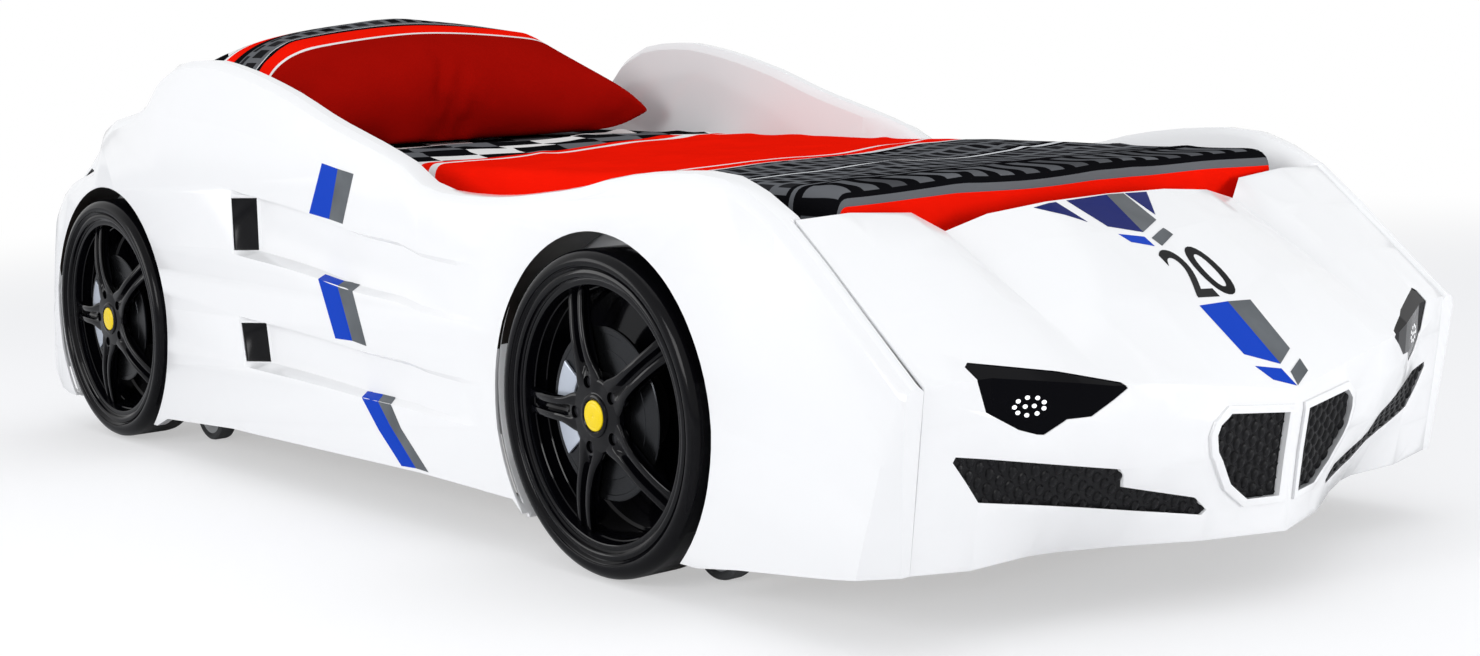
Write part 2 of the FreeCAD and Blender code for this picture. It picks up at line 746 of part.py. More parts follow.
def vent_prism(low, high, lean, spread, depth):
    """A slab on the slanted rear face of a scoop; spread widens it, depth sinks it."""
    front = Vector(FLANK - SCOOP_DEPTH + 3 - spread, VENT_FRONT + 5 - spread, low)
    rear = Vector(FLANK - 1 + spread, VENT_REAR - 4 + spread, low)
    sink = (rear - front).cross(Vector(0, 0, 1)).normalize() * -1
    near, far = (sink * distance for distance in depth)
    corners = [front + near, rear + near, rear + far, front + far, front + near]
    slab = Part.Face(Part.makePolygon(corners)).extrude(Vector(0, lean, high - low))
    slab.translate(Vector(0, along(VENT_FRONT) - VENT_FRONT, 0))
    return slab


def vent_slabs(spread, depth):
    sill = on_line(SILL_LINE, VENT_FRONT)
    belt = on_curve(BELT_LINE, VENT_FRONT)
    slabs = []
    for (low, high), lean in ((LOWER_SCOOP, LOWER_VENT_LEAN), (UPPER_SCOOP, 0.0)):
        z_low = sill + low * (belt - sill) + SCOOP_EDGE + 2 - spread
        z_high = sill + high * (belt - sill) - SCOOP_EDGE - 2 + spread
        split = sill + 0.5 * (belt - sill)
        rise = lean / (split - sill)
        slab = vent_prism(z_low, z_high, rise * (z_high - z_low), spread, depth)
        if lean:
            slab.translate(Vector(0, -rise * (split - z_low), 0))
        slabs.append(slab)
    return slabs


def side_sections():
    """Cross-sections from the tail to the nose; the hollow ends have a flange along the seam."""
    first = DRAWN_HEAD - 8
    last = DRAWN_FOOT + 12
    count = round((first - last) / STATION_STEP)
    middle = [first + (last - first) * index / count for index in range(count + 1)]
    corners = [y for y, z in SILL_LINE if last < y < first] + [VENT_REAR, VENT_FRONT, SCOOP_END]
    middle = [y for y in middle if min(abs(y - corner) for corner in corners) > STATION_STEP / 4]
    sections = [side_station(y, True) for y in TAIL_STATIONS]
    sections += [side_station(y, False) for y in sorted(middle + corners, reverse=True)]
    sections += [side_station(y, True) for y in (last - 4, -930)]
    sections += [nose_station((-965, 82), (-990, 377), 0.0), nose_station((-1000, 87), (-1068, 311), 0.0),
                 nose_station((-1046, 93), (-1075, 306), 26.0)]
    return sections


def side_skin():
    sections = side_sections()
    skin = loft(sections)
    skin = skin.fuse([end_wall(sections[0], -1), end_wall(sections[-1], 1)])
    for end in ENDS.values():
        cutter, liner = arch_tools(end.value)
        skin = skin.cut(cutter).fuse(liner)
    return skin.cut(Part.Compound(vent_slabs(GAP, (-12, 14))))


def screw_places():
    """Places along the side board between the wheels."""
    start = SIZES["front_wheel_y"] + SIZES["tyre_radius"] + 40
    end = SIZES["rear_wheel_y"] - SIZES["tyre_radius"] - 40
    count = int(SIZES["panel_screw_count"])
    return [start + (end - start) * index / (count - 1) for index in range(count)]


def screw_rods(radius, start, length):
    height = SIZES["board_top"] - SIZES["panel_screw_drop"]
    return [Part.makeCylinder(radius, length, Vector(start, y, height), Vector(1, 0, 0))
            for y in screw_places()]


SCREW_STAND = 1.5
SCREW_PLAY = 0.05
shank_start = HIP - SIZES["panel_screw_depth"]
shank_length = SIZES["panel_screw_depth"] + SKIN + SCREW_STAND
shanks = screw_rods(SIZES["panel_screw_radius"], shank_start, shank_length)
heads = screw_rods(SIZES["panel_screw_head"], shank_start + shank_length, SIZES["panel_screw_radius"])
holes = screw_rods(SIZES["panel_screw_radius"] + SCREW_PLAY, shank_start, shank_length)
screws = [shank.fuse(head) for shank, head in zip(shanks, heads)]
both_sides = [mirrored(screw, sign) for sign in SIDES.values() for screw in screws]
feature("panel_screws", Part.Compound(both_sides))

skin = side_skin().cut(holes)
inserts = vent_slabs(0.0, (1.5, 4.5))
for side, sign in SIDES.items():
    feature(f"{side}_side_skin", mirrored(skin, sign))
    drilled = doc.addObject("Part::Feature", f"{side}_screw_holes")
    drilled.Shape = mirrored(Part.Compound(holes), sign)
    keep(cut(f"{side}_side_board", boards[side], [drilled] + board_holes[side]), f"{side}_side_board")
    for level, insert in zip(("lower", "upper"), inserts):
        feature(f"{side}_{level}_vent", mirrored(insert, sign))


# Hood and bumper in one moulded piece: lines in the Y-Z plane at places across the bed, from the
# rear edge of the hood, over the brow, down to the bumper's lower edge.
DRAWN_SEAM = 482.0
HOOD_LINES = {
    482: [(-871, 475), (-930, 426), (-1000, 368), (-1075, 306), (-1070, 260), (-1061, 192), (-1053, 140),
          (-1046, 93)],
    400: [(-871, 477), (-935, 430), (-1010, 376), (-1096, 308), (-1092, 260), (-1080, 196), (-1066, 140),
          (-1056, 86)],
    305: [(-874, 470), (-945, 430), (-1030, 374), (-1140, 295), (-1137, 250), (-1122, 196), (-1090, 140),
          (-1056, 86)],
    268: [(-893, 446), (-960, 408), (-1045, 359), (-1154, 289), (-1151, 245), (-1136, 192), (-1102, 140),
          (-1066, 86)],
    205: [(-900, 462), (-965, 428), (-1055, 372), (-1170, 284), (-1170, 240), (-1158, 188), (-1128, 136),
          (-1095, 86)],
    110: [(-908, 470), (-980, 434), (-1075, 374), (-1186, 272), (-1187, 236), (-1178, 186), (-1160, 134),
          (-1146, 85)],
    0: [(-910, 472), (-990, 428), (-1098, 350), (-1200, 257), (-1201, 231), (-1192, 180), (-1186, 125),
        (-1182, 84)],
}
BUMPER_LIP = 14.0
TAIL_LINES = {
    482: [(1062.3, 472), (1074, 477), (1112, 458), (1160, 428), (1190, 384), (1212, 300), (1206, 180),
          (1196, 96)],
    436: [(1062.3, 538), (1078, 544), (1108, 516), (1156, 446), (1192, 392), (1213, 300), (1207, 180),
          (1197, 96)],
    300: [(1062.3, 546), (1080, 552), (1112, 522), (1158, 448), (1196, 394), (1218, 300), (1212, 180),
          (1202, 96)],
    0: [(1062.3, 548), (1082, 554), (1114, 524), (1160, 450), (1198, 396), (1222, 300), (1216, 180),
        (1206, 96)],
}
TAIL_LIP_LOW = 430.0

# Openings in the hood and bumper, as (x, z) corners on the right-hand side.
HEADLIGHT = [(414, 324), (322, 308), (256, 291), (250, 284), (292, 256), (319, 255), (341, 239), (349, 240),
             (369, 247), (406, 270), (418, 305), (421, 320)]
LOWER_GRILLE = [(438, 223), (247, 190), (239, 182), (232, 166), (132, 141), (113, 124), (118, 118),
                (332, 155), (401, 166), (441, 217)]
CENTRE_GRILLE = [(110, 240), (18, 231), (18, 130), (63, 131), (92, 153), (122, 196), (127, 216), (124, 228)]
LED_CENTRE = (359.0, 273.0)
LED_RING = (16.0, 10.0)
LED_COUNT = 9
GRILLE_OVERLAP = 5.0
GRILLE_RIM_WIDTH = 9.0
GRILLE_RIM_HEIGHT = 4.0
GRILLE_THICK = 3.0
LENS_RECESS = 1.0
LENS_THICK = 4.0


def across_hood(x):
    """Move a drawn place across the hood to where it lies between the two seams."""
    return x * (SEAM - GAP) / DRAWN_SEAM


def crossways_sections(lines, lip_low, lower_lip, outside, inside):
    """Cross-sections of a moulded end piece, from one seam to the other."""
    sections = []
    for x in sorted(lines) + [-x for x in sorted(lines) if x]:
        line = lines[abs(x)]
        line = [(line[0][0], lip_low)] + line + [(line[-1][0] + lower_lip, line[-1][1])]
        place = across_hood(x)
        sections.append((place, skin_section(line, lambda spot: Vector(place, along(spot[0]), spot[1]),
                                             inside, outside)))
    return [section for place, section in sorted(sections, key=lambda pair: pair[0])]


def hood_layer(outside, inside):
    return loft(crossways_sections(HOOD_LINES, SIZES["board_top"] + GAP, BUMPER_LIP, outside, inside))


def opening_prism(corners, grow, sign):
    """A prism along Y through the nose, from (x, z) corners of an opening."""
    turned = offset_line(corners + corners[:2], grow)[1:-1]
    spots = [Vector(across_hood(x) * sign, along(-1300), z) for x, z in turned]
    return Part.Face(Part.makePolygon(spots + spots[:1])).extrude(Vector(0, 340, 0))


def led_rods(sign, radius):
    centre_x, centre_z = LED_CENTRE
    spots = [(centre_x - LED_RING[0] * 0.3, centre_z), (centre_x + LED_RING[0] * 0.3, centre_z)]
    for index in range(LED_COUNT):
        angle = 2 * math.pi * index / LED_COUNT
        spots.append((centre_x + LED_RING[0] * math.cos(angle), centre_z + LED_RING[1] * math.sin(angle)))
    return [Part.makeCylinder(radius, 340, Vector(across_hood(x) * sign, along(-1300), z), Vector(0, 1, 0))
            for x, z in spots]


hood = hood_layer(0.0, SKIN)
rim_layer = hood_layer(-GRILLE_RIM_HEIGHT, SKIN / 2)
hood = hood.fuse([rim_layer.common(opening_prism(CENTRE_GRILLE, GRILLE_RIM_WIDTH, sign))
                  for sign in SIDES.values()])
for corners in (HEADLIGHT, LOWER_GRILLE, CENTRE_GRILLE):
    hood = hood.cut([opening_prism(corners, 0.0, sign) for sign in SIDES.values()])
feature("hood_and_bumper_skin", hood)

lens_layer = hood_layer(LENS_RECESS, LENS_RECESS + LENS_THICK)
led_layer = hood_layer(LENS_RECESS - 0.5, LENS_RECESS + SIZES["led_depth"])
grille_layer = hood_layer(SKIN + GAP, SKIN + GAP + GRILLE_THICK)
for side, sign in SIDES.items():
    leds = led_rods(sign, SIZES["led_radius"])
    lens = lens_layer.common(opening_prism(HEADLIGHT, -GAP, sign))
    feature(f"{side}_headlight_lens", lens.cut(led_rods(sign, SIZES["led_radius"] + SIZES["led_play"])))
    feature(f"{side}_headlight_leds", Part.Compound([led_layer.common(led) for led in leds]))
    for name, corners in (("lower_grille", LOWER_GRILLE), ("centre_grille", CENTRE_GRILLE)):
        feature(f"{side}_{name}", grille_layer.common(opening_prism(corners, GRILLE_OVERLAP, sign)))

feature("tail_skin", loft(crossways_sections(TAIL_LINES, TAIL_LIP_LOW, -BUMPER_LIP, 0.0, -SKIN)))


# Bedding: a mattress, a cover draped over its top edges, and a pillow leaning on the tail.
def rounded(name, base, radius, edges):
    doc.recompute()
    obj = doc.addObject("Part::Fillet", name)
    obj.Base = base
    obj.Edges = [(edge, radius, radius) for edge in edges]
    base.Visibility = False
    return obj


ALL_EDGES = range(1, 13)
TOP_AND_UPRIGHT_EDGES = (1, 3, 5, 7, 2, 6, 10, 12)
width = size("mattress_width")
slack = size("skin_gap")
mattress = block("mattress_block", (width, size("mattress_length"), size("mattress_height")),
                 (-width / 2, mattress_front, mattress_low))
keep(rounded("mattress", mattress, SIZES["mattress_round"], ALL_EDGES), "mattress")
hollow = block("cover_hollow", (width + slack * 2, size("mattress_length") + slack * 2,
                                size("mattress_height") + slack),
               (-width / 2 - slack, mattress_front - slack, mattress_low))
hollow = rounded("cover_inner", hollow, SIZES["mattress_round"], ALL_EDGES)
edge = size("cover_edge")
sheet_block = block("cover_block", (width + edge * 2, size("mattress_length") + edge * 2,
                                    size("cover_drop") + size("cover_thick")),
                    (-width / 2 - edge, mattress_front - edge, mattress_top - size("cover_drop")))
sheet_block = rounded("cover_outer", sheet_block, SIZES["cover_round"], TOP_AND_UPRIGHT_EDGES)
keep(cut("bed_cover", sheet_block, [hollow]), "bed_cover")

PILLOW_TILT = 12.0
PILLOW_BEHIND = 22.0
PILLOW_SHARES = [(-0.5, 0.06, 0.86), (-0.46, 0.34, 0.93), (-0.36, 0.74, 0.98), (-0.18, 0.95, 1.0),
                 (0.0, 1.0, 1.0), (0.18, 0.95, 1.0), (0.36, 0.74, 0.98), (0.46, 0.34, 0.93),
                 (0.5, 0.06, 0.86)]
PILLOW_ROUND = [(-0.5, 0.0), (-0.46, 0.24), (-0.34, 0.42), (0.0, 0.5), (0.34, 0.42), (0.46, 0.24),
                (0.5, 0.0), (0.46, -0.24), (0.34, -0.42), (0.0, -0.5), (-0.34, -0.42), (-0.46, -0.24)]


def make_pillow():
    """A plump closed form, thin at its rim, turned up against the tail."""
    sections = []
    for place, tall, deep in PILLOW_SHARES:
        x = place * SIZES["pillow_width"]
        spots = [Vector(x, v * deep * SIZES["pillow_depth"], w * tall * SIZES["pillow_height"])
                 for v, w in PILLOW_ROUND]
        sections.append(spots)
    pillow = loft(sections)
    pillow.rotate(Vector(), Vector(1, 0, 0), PILLOW_TILT)
    box = pillow.BoundBox
    rear = head_in.value - PILLOW_BEHIND
    low = mattress_top.value + SIZES["cover_thick"] + GAP
    pillow.translate(Vector(0, rear - box.YMax, low - box.ZMin))
    return pillow


feature("pillow", make_pillow())


doc.recompute()
os.makedirs("parts", exist_ok=True)
for obj in EXPORTS:
    if "Invalid" in obj.State or "Error" in obj.State or obj.Shape.isNull() or not obj.Shape.isValid():
        raise RuntimeError(obj.Label)
    obj.Shape.exportStep(f"parts/{obj.Label}.step")
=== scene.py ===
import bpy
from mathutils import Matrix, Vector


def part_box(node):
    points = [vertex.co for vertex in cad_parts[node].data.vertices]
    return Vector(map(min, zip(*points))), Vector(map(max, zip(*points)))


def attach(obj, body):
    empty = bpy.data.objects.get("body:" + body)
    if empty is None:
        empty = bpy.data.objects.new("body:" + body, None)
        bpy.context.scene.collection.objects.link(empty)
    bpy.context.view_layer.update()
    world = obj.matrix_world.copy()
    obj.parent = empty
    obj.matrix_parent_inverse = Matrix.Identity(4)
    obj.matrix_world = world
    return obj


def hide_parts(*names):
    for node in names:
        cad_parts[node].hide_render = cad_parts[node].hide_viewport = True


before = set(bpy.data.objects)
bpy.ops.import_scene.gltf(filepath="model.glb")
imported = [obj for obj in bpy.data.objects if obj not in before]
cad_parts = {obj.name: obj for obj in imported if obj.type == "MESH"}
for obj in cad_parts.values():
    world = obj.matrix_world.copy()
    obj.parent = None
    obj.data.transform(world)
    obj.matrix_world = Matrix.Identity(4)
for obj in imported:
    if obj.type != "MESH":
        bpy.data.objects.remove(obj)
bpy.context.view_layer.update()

import math

import bmesh
import bpy
from mathutils import Matrix, Vector, noise
from mathutils.bvhtree import BVHTree

mm = 0.001
sides = {"left": -1, "right": 1}
wheelPlaces = {"front": -0.5275, "rear": 0.9435}
wheelHeight = 0.214
wheelInner = 0.431     # X of the tyre's inner face


# Handling of objects

def putDown():
    if bpy.context.object and bpy.context.object.mode != "OBJECT":
        bpy.ops.object.mode_set(mode="OBJECT")
    bpy.ops.object.select_all(action="DESELECT")


def takeUp(piece):
    putDown()
    piece.select_set(True)
    bpy.context.view_layer.objects.active = piece
    return piece


def opened(piece):
    takeUp(piece)
    bpy.ops.object.mode_set(mode="EDIT")
    bpy.ops.mesh.select_all(action="SELECT")


def cutAcross(spot, normal, **settings):
    bpy.ops.mesh.select_all(action="SELECT")
    bpy.ops.mesh.bisect(plane_co=spot, plane_no=normal, **settings)


def named(piece, name):
    piece.name = name
    piece.data.name = name
    return piece


def applied(piece, kind, **settings):
    takeUp(piece)
    step = piece.modifiers.new(kind.title(), kind)
    for name, value in settings.items():
        setattr(step, name, value)
    bpy.ops.object.modifier_apply(modifier=step.name)
    return piece


def thinOut(piece):
    # loose CAD triangles become clean flat faces
    opened(piece)
    bpy.ops.mesh.remove_doubles(threshold=0.00002)
    bpy.ops.mesh.dissolve_limited(angle_limit=math.radians(0.4))
    bpy.ops.object.mode_set(mode="OBJECT")
    return piece


def copyOfNode(node, name):
    piece = bpy.data.objects.new(name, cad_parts[node].data.copy())
    bpy.context.scene.collection.objects.link(piece)
    piece.data.name = name
    piece.data.materials.clear()
    return thinOut(piece)


def copyOf(piece, name, matrix, flip=False):
    twin = bpy.data.objects.new(name, piece.data.copy())
    bpy.context.scene.collection.objects.link(twin)
    twin.data.name = name
    twin.data.transform(matrix)
    if flip:
        twin.data.flip_normals()
    return twin


def fused(name, pieces):
    takeUp(pieces[0])
    for piece in pieces[1:]:
        piece.select_set(True)
    bpy.ops.object.join()
    return named(pieces[0], name)


def finished(piece, finish, body="bed", stands=(), smooth=32):
    piece.data.materials.clear()
    piece.data.materials.append(finish)
    takeUp(piece)
    bpy.ops.object.shade_smooth_by_angle(angle=math.radians(smooth))
    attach(piece, body)
    if stands:
        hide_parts(*stands)
    return piece


def surfaceOf(piece):
    shape = bmesh.new()
    shape.from_mesh(piece.data)
    tree = BVHTree.FromBMesh(shape)
    shape.free()
    return tree


def turned(name, profile, steps=96):
    # a closed profile of (along X, radius) in mm, spun about the X axis
    putDown()
    bpy.ops.mesh.primitive_circle_add(vertices=len(profile), fill_type="NOTHING")
    piece = named(bpy.context.object, name)
    for vertex, (along, radius) in zip(piece.data.vertices, profile):
        vertex.co = (along * mm, 0, radius * mm)
    bpy.ops.object.mode_set(mode="EDIT")
    bpy.ops.mesh.select_all(action="SELECT")
    bpy.ops.mesh.spin(steps=steps, angle=math.tau, center=(0, 0, 0), axis=(1, 0, 0))
    bpy.ops.mesh.select_all(action="SELECT")
    bpy.ops.mesh.remove_doubles(threshold=0.00001)
    bpy.ops.mesh.normals_make_consistent(inside=False)
    bpy.ops.object.mode_set(mode="OBJECT")
    return piece


# Camera, floor and light

camera = {"place": (-2.10869, -2.78045, 0.69775), "lens": 53.997, "sensor": 36,
          "yaw": 39.0646, "pitch": 7.8273, "roll": -1.7760}
yaw, pitch, roll = (math.radians(camera[key]) for key in ("yaw", "pitch", "roll"))
ahead = Vector((math.sin(yaw) * math.cos(pitch), math.cos(yaw) * math.cos(pitch), -math.sin(pitch)))
level = Vector((math.cos(yaw), -math.sin(yaw), 0))
upright = level.cross(ahead)
across = math.cos(roll) * level + math.sin(roll) * upright
upward = -math.sin(roll) * level + math.cos(roll) * upright
putDown()
bpy.ops.object.camera_add(location=camera["place"])
shotFrom = bpy.context.object
shotFrom.data.lens = camera["lens"]
shotFrom.data.sensor_width = camera["sensor"]
shotFrom.rotation_euler = Matrix((across, upward, -ahead)).transposed().to_euler()
shotFrom.data.clip_end = 200
bpy.context.scene.camera = shotFrom
bpy.context.scene.view_settings.view_transform = "Standard"

studio = {"world": 0.64, "floorSize": 60, "floorDrop": 0.0005, "floorGlow": 0.46,
          "fadeFrom": 2.4, "fadeTo": 5.5,
          "lamps": {"overhead": ((0.3, -0.2, 3.6), (0.0, 0.0, 0.2), 3.4, 25),
                    "flankSide": ((-3.6, -0.9, 1.4), (0.0, -0.1, 0.3), 1.3, 45),
                    "noseSide": ((0.9, -4.3, 0.66), (0.0, -0.8, 0.3), 1.3, 54),
                    "rearSide": ((-3.3, 2.7, 0.8), (-0.5, -0.2, 0.25), 1.3, 19)}}


def nodeOf(tree, kind, **settings):
    node = tree.nodes.new(kind)
    for name, value in settings.items():
        if hasattr(node, name):
            setattr(node, name, value)
        else:
            node.inputs[name].default_value = value
    return node


world = bpy.data.worlds.new("StudioWorld")
bpy.context.scene.world = world
world.use_nodes = True
sky = world.node_tree
sky.nodes.clear()
skyOut = nodeOf(sky, "ShaderNodeOutputWorld")
skySeen = nodeOf(sky, "ShaderNodeBackground")
skySeen.inputs["Color"].default_value = (1, 1, 1, 1)
skyLight = nodeOf(sky, "ShaderNodeBackground")
skyLight.inputs["Color"].default_value = (0.95, 0.97, 1.0, 1)
skyLight.inputs["Strength"].default_value = studio["world"]
skyMix = nodeOf(sky, "ShaderNodeMixShader")
skyPath = nodeOf(sky, "ShaderNodeLightPath")
skyRays = nodeOf(sky, "ShaderNodeMath", operation="MAXIMUM")
skyGloss = nodeOf(sky, "ShaderNodeMath", operation="MAXIMUM")
for source, goal in ((skyPath.outputs["Is Camera Ray"], skyRays.inputs[0]),
                     (skyPath.outputs["Is Transmission Ray"], skyRays.inputs[1]),
                     (skyRays.outputs[0], skyGloss.inputs[0]),
                     (skyPath.outputs["Is Glossy Ray"], skyGloss.inputs[1]),
                     (skyGloss.outputs[0], skyMix.inputs[0]), (skyLight.outputs[0], skyMix.inputs[1]),
                     (skySeen.outputs[0], skyMix.inputs[2]), (skyMix.outputs[0], skyOut.inputs[0])):
    sky.links.new(source, goal)

putDown()
bpy.ops.mesh.primitive_plane_add(size=studio["floorSize"], location=(0, 0, -studio["floorDrop"]))
floor = named(bpy.context.object, "studio_floor")
paper = bpy.data.materials.new("StudioPaper")
paper.use_nodes = True
tree = paper.node_tree
tree.nodes.clear()
out = nodeOf(tree, "ShaderNodeOutputMaterial")
matte = nodeOf(tree, "ShaderNodeBsdfDiffuse")
matte.inputs["Color"].default_value = (0.86, 0.86, 0.87, 1)
seen = nodeOf(tree, "ShaderNodeBsdfDiffuse")
seen.inputs["Color"].default_value = (0.55, 0.55, 0.56, 1)
glow = nodeOf(tree, "ShaderNodeEmission")
glow.inputs["Color"].default_value = (1, 1, 1, 1)
glow.inputs["Strength"].default_value = studio["floorGlow"]
bright = nodeOf(tree, "ShaderNodeAddShader")
choose = nodeOf(tree, "ShaderNodeMixShader")
path = nodeOf(tree, "ShaderNodeLightPath")
floorPlace = nodeOf(tree, "ShaderNodeTexCoord")
fromMiddle = nodeOf(tree, "ShaderNodeVectorMath", operation="LENGTH")
fade = nodeOf(tree, "ShaderNodeMapRange", interpolation_type="SMOOTHSTEP")
fade.inputs["From Min"].default_value = studio["fadeFrom"]
fade.inputs["From Max"].default_value = studio["fadeTo"]
farWhite = nodeOf(tree, "ShaderNodeEmission")
farWhite.inputs["Color"].default_value = (1, 1, 1, 1)
fading = nodeOf(tree, "ShaderNodeMixShader")
for source, goal in ((seen.outputs[0], bright.inputs[0]), (glow.outputs[0], bright.inputs[1]),
                     (floorPlace.outputs["Object"], fromMiddle.inputs[0]),
                     (fromMiddle.outputs["Value"], fade.inputs["Value"]),
                     (fade.outputs["Result"], fading.inputs[0]), (bright.outputs[0], fading.inputs[1]),
                     (farWhite.outputs[0], fading.inputs[2]),
                     (path.outputs["Is Camera Ray"], choose.inputs[0]),
                     (matte.outputs[0], choose.inputs[1]), (fading.outputs[0], choose.inputs[2]),
                     (choose.outputs[0], out.inputs[0])):
    tree.links.new(source, goal)
floor.data.materials.append(paper)

for lampName, (place, target, size, power) in studio["lamps"].items():
    putDown()
    bpy.ops.object.light_add(type="AREA", location=place)
    lamp = bpy.context.object
    lamp.name = lampName
    lamp.data.shape = "SQUARE"
    lamp.data.size = size
    lamp.data.energy = power
    lamp.rotation_euler = (Vector(target) - Vector(place)).to_track_quat("-Z", "Y").to_euler()
print("camera, floor and light are ready")


# Finishes

def colourOut(node):
    return next(socket for socket in node.outputs if socket.type == "RGBA")


def colourIn(node, name):
    return next(socket for socket in node.inputs if socket.type == "RGBA" and socket.name == name)


def plastic(name, colour, roughness, mottle=0.03, mottleScale=6.0, bumpScale=420.0, bump=0.03,
            metallic=0.0, specular=0.5, wave=0.0, sheen=0.0):
    made = bpy.data.materials.new(name)
    made.use_nodes = True
    tree = made.node_tree
    shader = tree.nodes["Principled BSDF"]
    shader.inputs["Metallic"].default_value = metallic
    shader.inputs["Specular IOR Level"].default_value = specular
    shader.inputs["Sheen Weight"].default_value = sheen
    place = nodeOf(tree, "ShaderNodeTexCoord")
    cloud = nodeOf(tree, "ShaderNodeTexNoise", Scale=mottleScale, Detail=4.0)
    tree.links.new(place.outputs["Object"], cloud.inputs["Vector"])
    tint = nodeOf(tree, "ShaderNodeMix", data_type="RGBA")
    for name, change in (("A", 1 - mottle), ("B", 1 + mottle)):
        colourIn(tint, name).default_value = (*(min(value * change, 1) for value in colour), 1)
    tree.links.new(cloud.outputs["Fac"], tint.inputs["Factor"])
    tree.links.new(colourOut(tint), shader.inputs["Base Color"])
    gloss = nodeOf(tree, "ShaderNodeMapRange")
    gloss.inputs["To Min"].default_value = roughness * 0.8
    gloss.inputs["To Max"].default_value = roughness * 1.25
    tree.links.new(cloud.outputs["Fac"], gloss.inputs["Value"])
    tree.links.new(gloss.outputs["Result"], shader.inputs["Roughness"])
    grain = nodeOf(tree, "ShaderNodeTexNoise", Scale=bumpScale, Detail=3.0)
    tree.links.new(place.outputs["Object"], grain.inputs["Vector"])
    fine = nodeOf(tree, "ShaderNodeBump", Strength=bump, Distance=0.001)
    tree.links.new(grain.outputs["Fac"], fine.inputs["Height"])
    last = fine
    if wave:
        swell = nodeOf(tree, "ShaderNodeTexNoise", Scale=7.0, Detail=1.0)
        tree.links.new(place.outputs["Object"], swell.inputs["Vector"])
        broad = nodeOf(tree, "ShaderNodeBump", Strength=wave, Distance=0.01)
        tree.links.new(swell.outputs["Fac"], broad.inputs["Height"])
        tree.links.new(fine.outputs["Normal"], broad.inputs["Normal"])
        last = broad
    tree.links.new(last.outputs["Normal"], shader.inputs["Normal"])
    return made


def timber(name, light, dark, stretch):
    # long grain: the noise is squeezed along the board
    made = plastic(name, light, 0.55, bump=0.0)
    tree = made.node_tree
    shader = tree.nodes["Principled BSDF"]
    place = nodeOf(tree, "ShaderNodeTexCoord")
    squeeze = nodeOf(tree, "ShaderNodeMapping")
    squeeze.inputs["Scale"].default_value = stretch
    tree.links.new(place.outputs["Object"], squeeze.inputs["Vector"])
    grain = nodeOf(tree, "ShaderNodeTexNoise", Scale=9.0, Detail=8.0, Distortion=0.6)
    tree.links.new(squeeze.outputs[0], grain.inputs["Vector"])
    tint = nodeOf(tree, "ShaderNodeValToRGB")
    tint.color_ramp.elements[0].position = 0.35
    tint.color_ramp.elements[0].color = (*dark, 1)
    tint.color_ramp.elements[1].position = 0.62
    tint.color_ramp.elements[1].color = (*light, 1)
    tree.links.new(grain.outputs["Fac"], tint.inputs["Fac"])
    tree.links.new(tint.outputs["Color"], shader.inputs["Base Color"])
    ridge = nodeOf(tree, "ShaderNodeBump", Strength=0.25, Distance=0.001)
    tree.links.new(grain.outputs["Fac"], ridge.inputs["Height"])
    tree.links.new(ridge.outputs["Normal"], shader.inputs["Normal"])
    return made


bodyWhite = plastic("GlossWhiteShell", (0.84, 0.842, 0.85), 0.14, mottle=0.01, bump=0.015, specular=0.4,
                    wave=0.02)
boardWhite = plastic("MelamineBoard", (0.74, 0.74, 0.73), 0.42, mottle=0.03, bumpScale=900, bump=0.05)
pineAcross = timber("PineAcross", (0.66, 0.45, 0.25), (0.48, 0.28, 0.13), (1.2, 14, 14))
pineAlong = timber("PineAlong", (0.68, 0.47, 0.27), (0.50, 0.30, 0.14), (14, 1.2, 14))
tyreBlack = plastic("GlossTyre", (0.003, 0.003, 0.004), 0.13, mottle=0.15, bump=0.04, specular=0.11)
rimBlack = plastic("GlossRim", (0.002, 0.002, 0.003), 0.07, mottle=0.15, bump=0.01, specular=0.15)
grilleBlack = plastic("SatinGrille", (0.005, 0.005, 0.006), 0.3, mottle=0.2, bumpScale=700, bump=0.15,
                      specular=0.18)
ventBlack = plastic("GlossVent", (0.003, 0.003, 0.004), 0.16, mottle=0.2, bump=0.02, specular=0.15)
lampBlack = plastic("SmokedLens", (0.001, 0.001, 0.002), 0.07, mottle=0.2, bump=0.0, specular=0.05)
ledWhite = plastic("LedWhite", (0.92, 0.93, 0.95), 0.25, mottle=0.02)
ledInputs = ledWhite.node_tree.nodes["Principled BSDF"].inputs
ledInputs["Emission Color"].default_value = (1, 1, 1, 1)
ledInputs["Emission Strength"].default_value = 0.4
capYellow = plastic("CapYellow", (0.85, 0.62, 0.0), 0.22, mottle=0.04, specular=0.3)
discSteel = plastic("DiscSteel", (0.018, 0.019, 0.021), 0.24, mottle=0.3, bumpScale=160, bump=0.08,
                    metallic=0.9)
caliperSilver = plastic("CaliperSilver", (0.46, 0.50, 0.57), 0.3, mottle=0.2, bumpScale=160, bump=0.08,
                        metallic=0.6)
# painted shade: a dark finish for the upper wheel-arch liners, which are white body plastic in shadow
archShadePaint = plastic("ArchLinerPaintedShade", (0.022, 0.018, 0.016), 0.3, mottle=0.4, mottleScale=9, bump=0.05,
                    specular=0.3)
boltDark = plastic("BlackZinc", (0.03, 0.03, 0.034), 0.3, mottle=0.2, bumpScale=240, bump=0.1, metallic=0.8)
zinc = plastic("ZincSteel", (0.60, 0.61, 0.62), 0.34, mottle=0.1, bumpScale=240, bump=0.1, metallic=1.0)
spacerBlack = plastic("SpacerBlack", (0.006, 0.006, 0.007), 0.4, mottle=0.1, bump=0.1, specular=0.2)
castorGrey = plastic("CastorGrey", (0.62, 0.63, 0.64), 0.4, mottle=0.05, bump=0.08)
castorTread = plastic("CastorTread", (0.085, 0.087, 0.09), 0.5, mottle=0.15, bumpScale=500, bump=0.2,
                      specular=0.3)
filmBlue = plastic("FilmBlue", (0.001, 0.046, 0.47), 0.25, mottle=0.06, bump=0.02, specular=0.04)
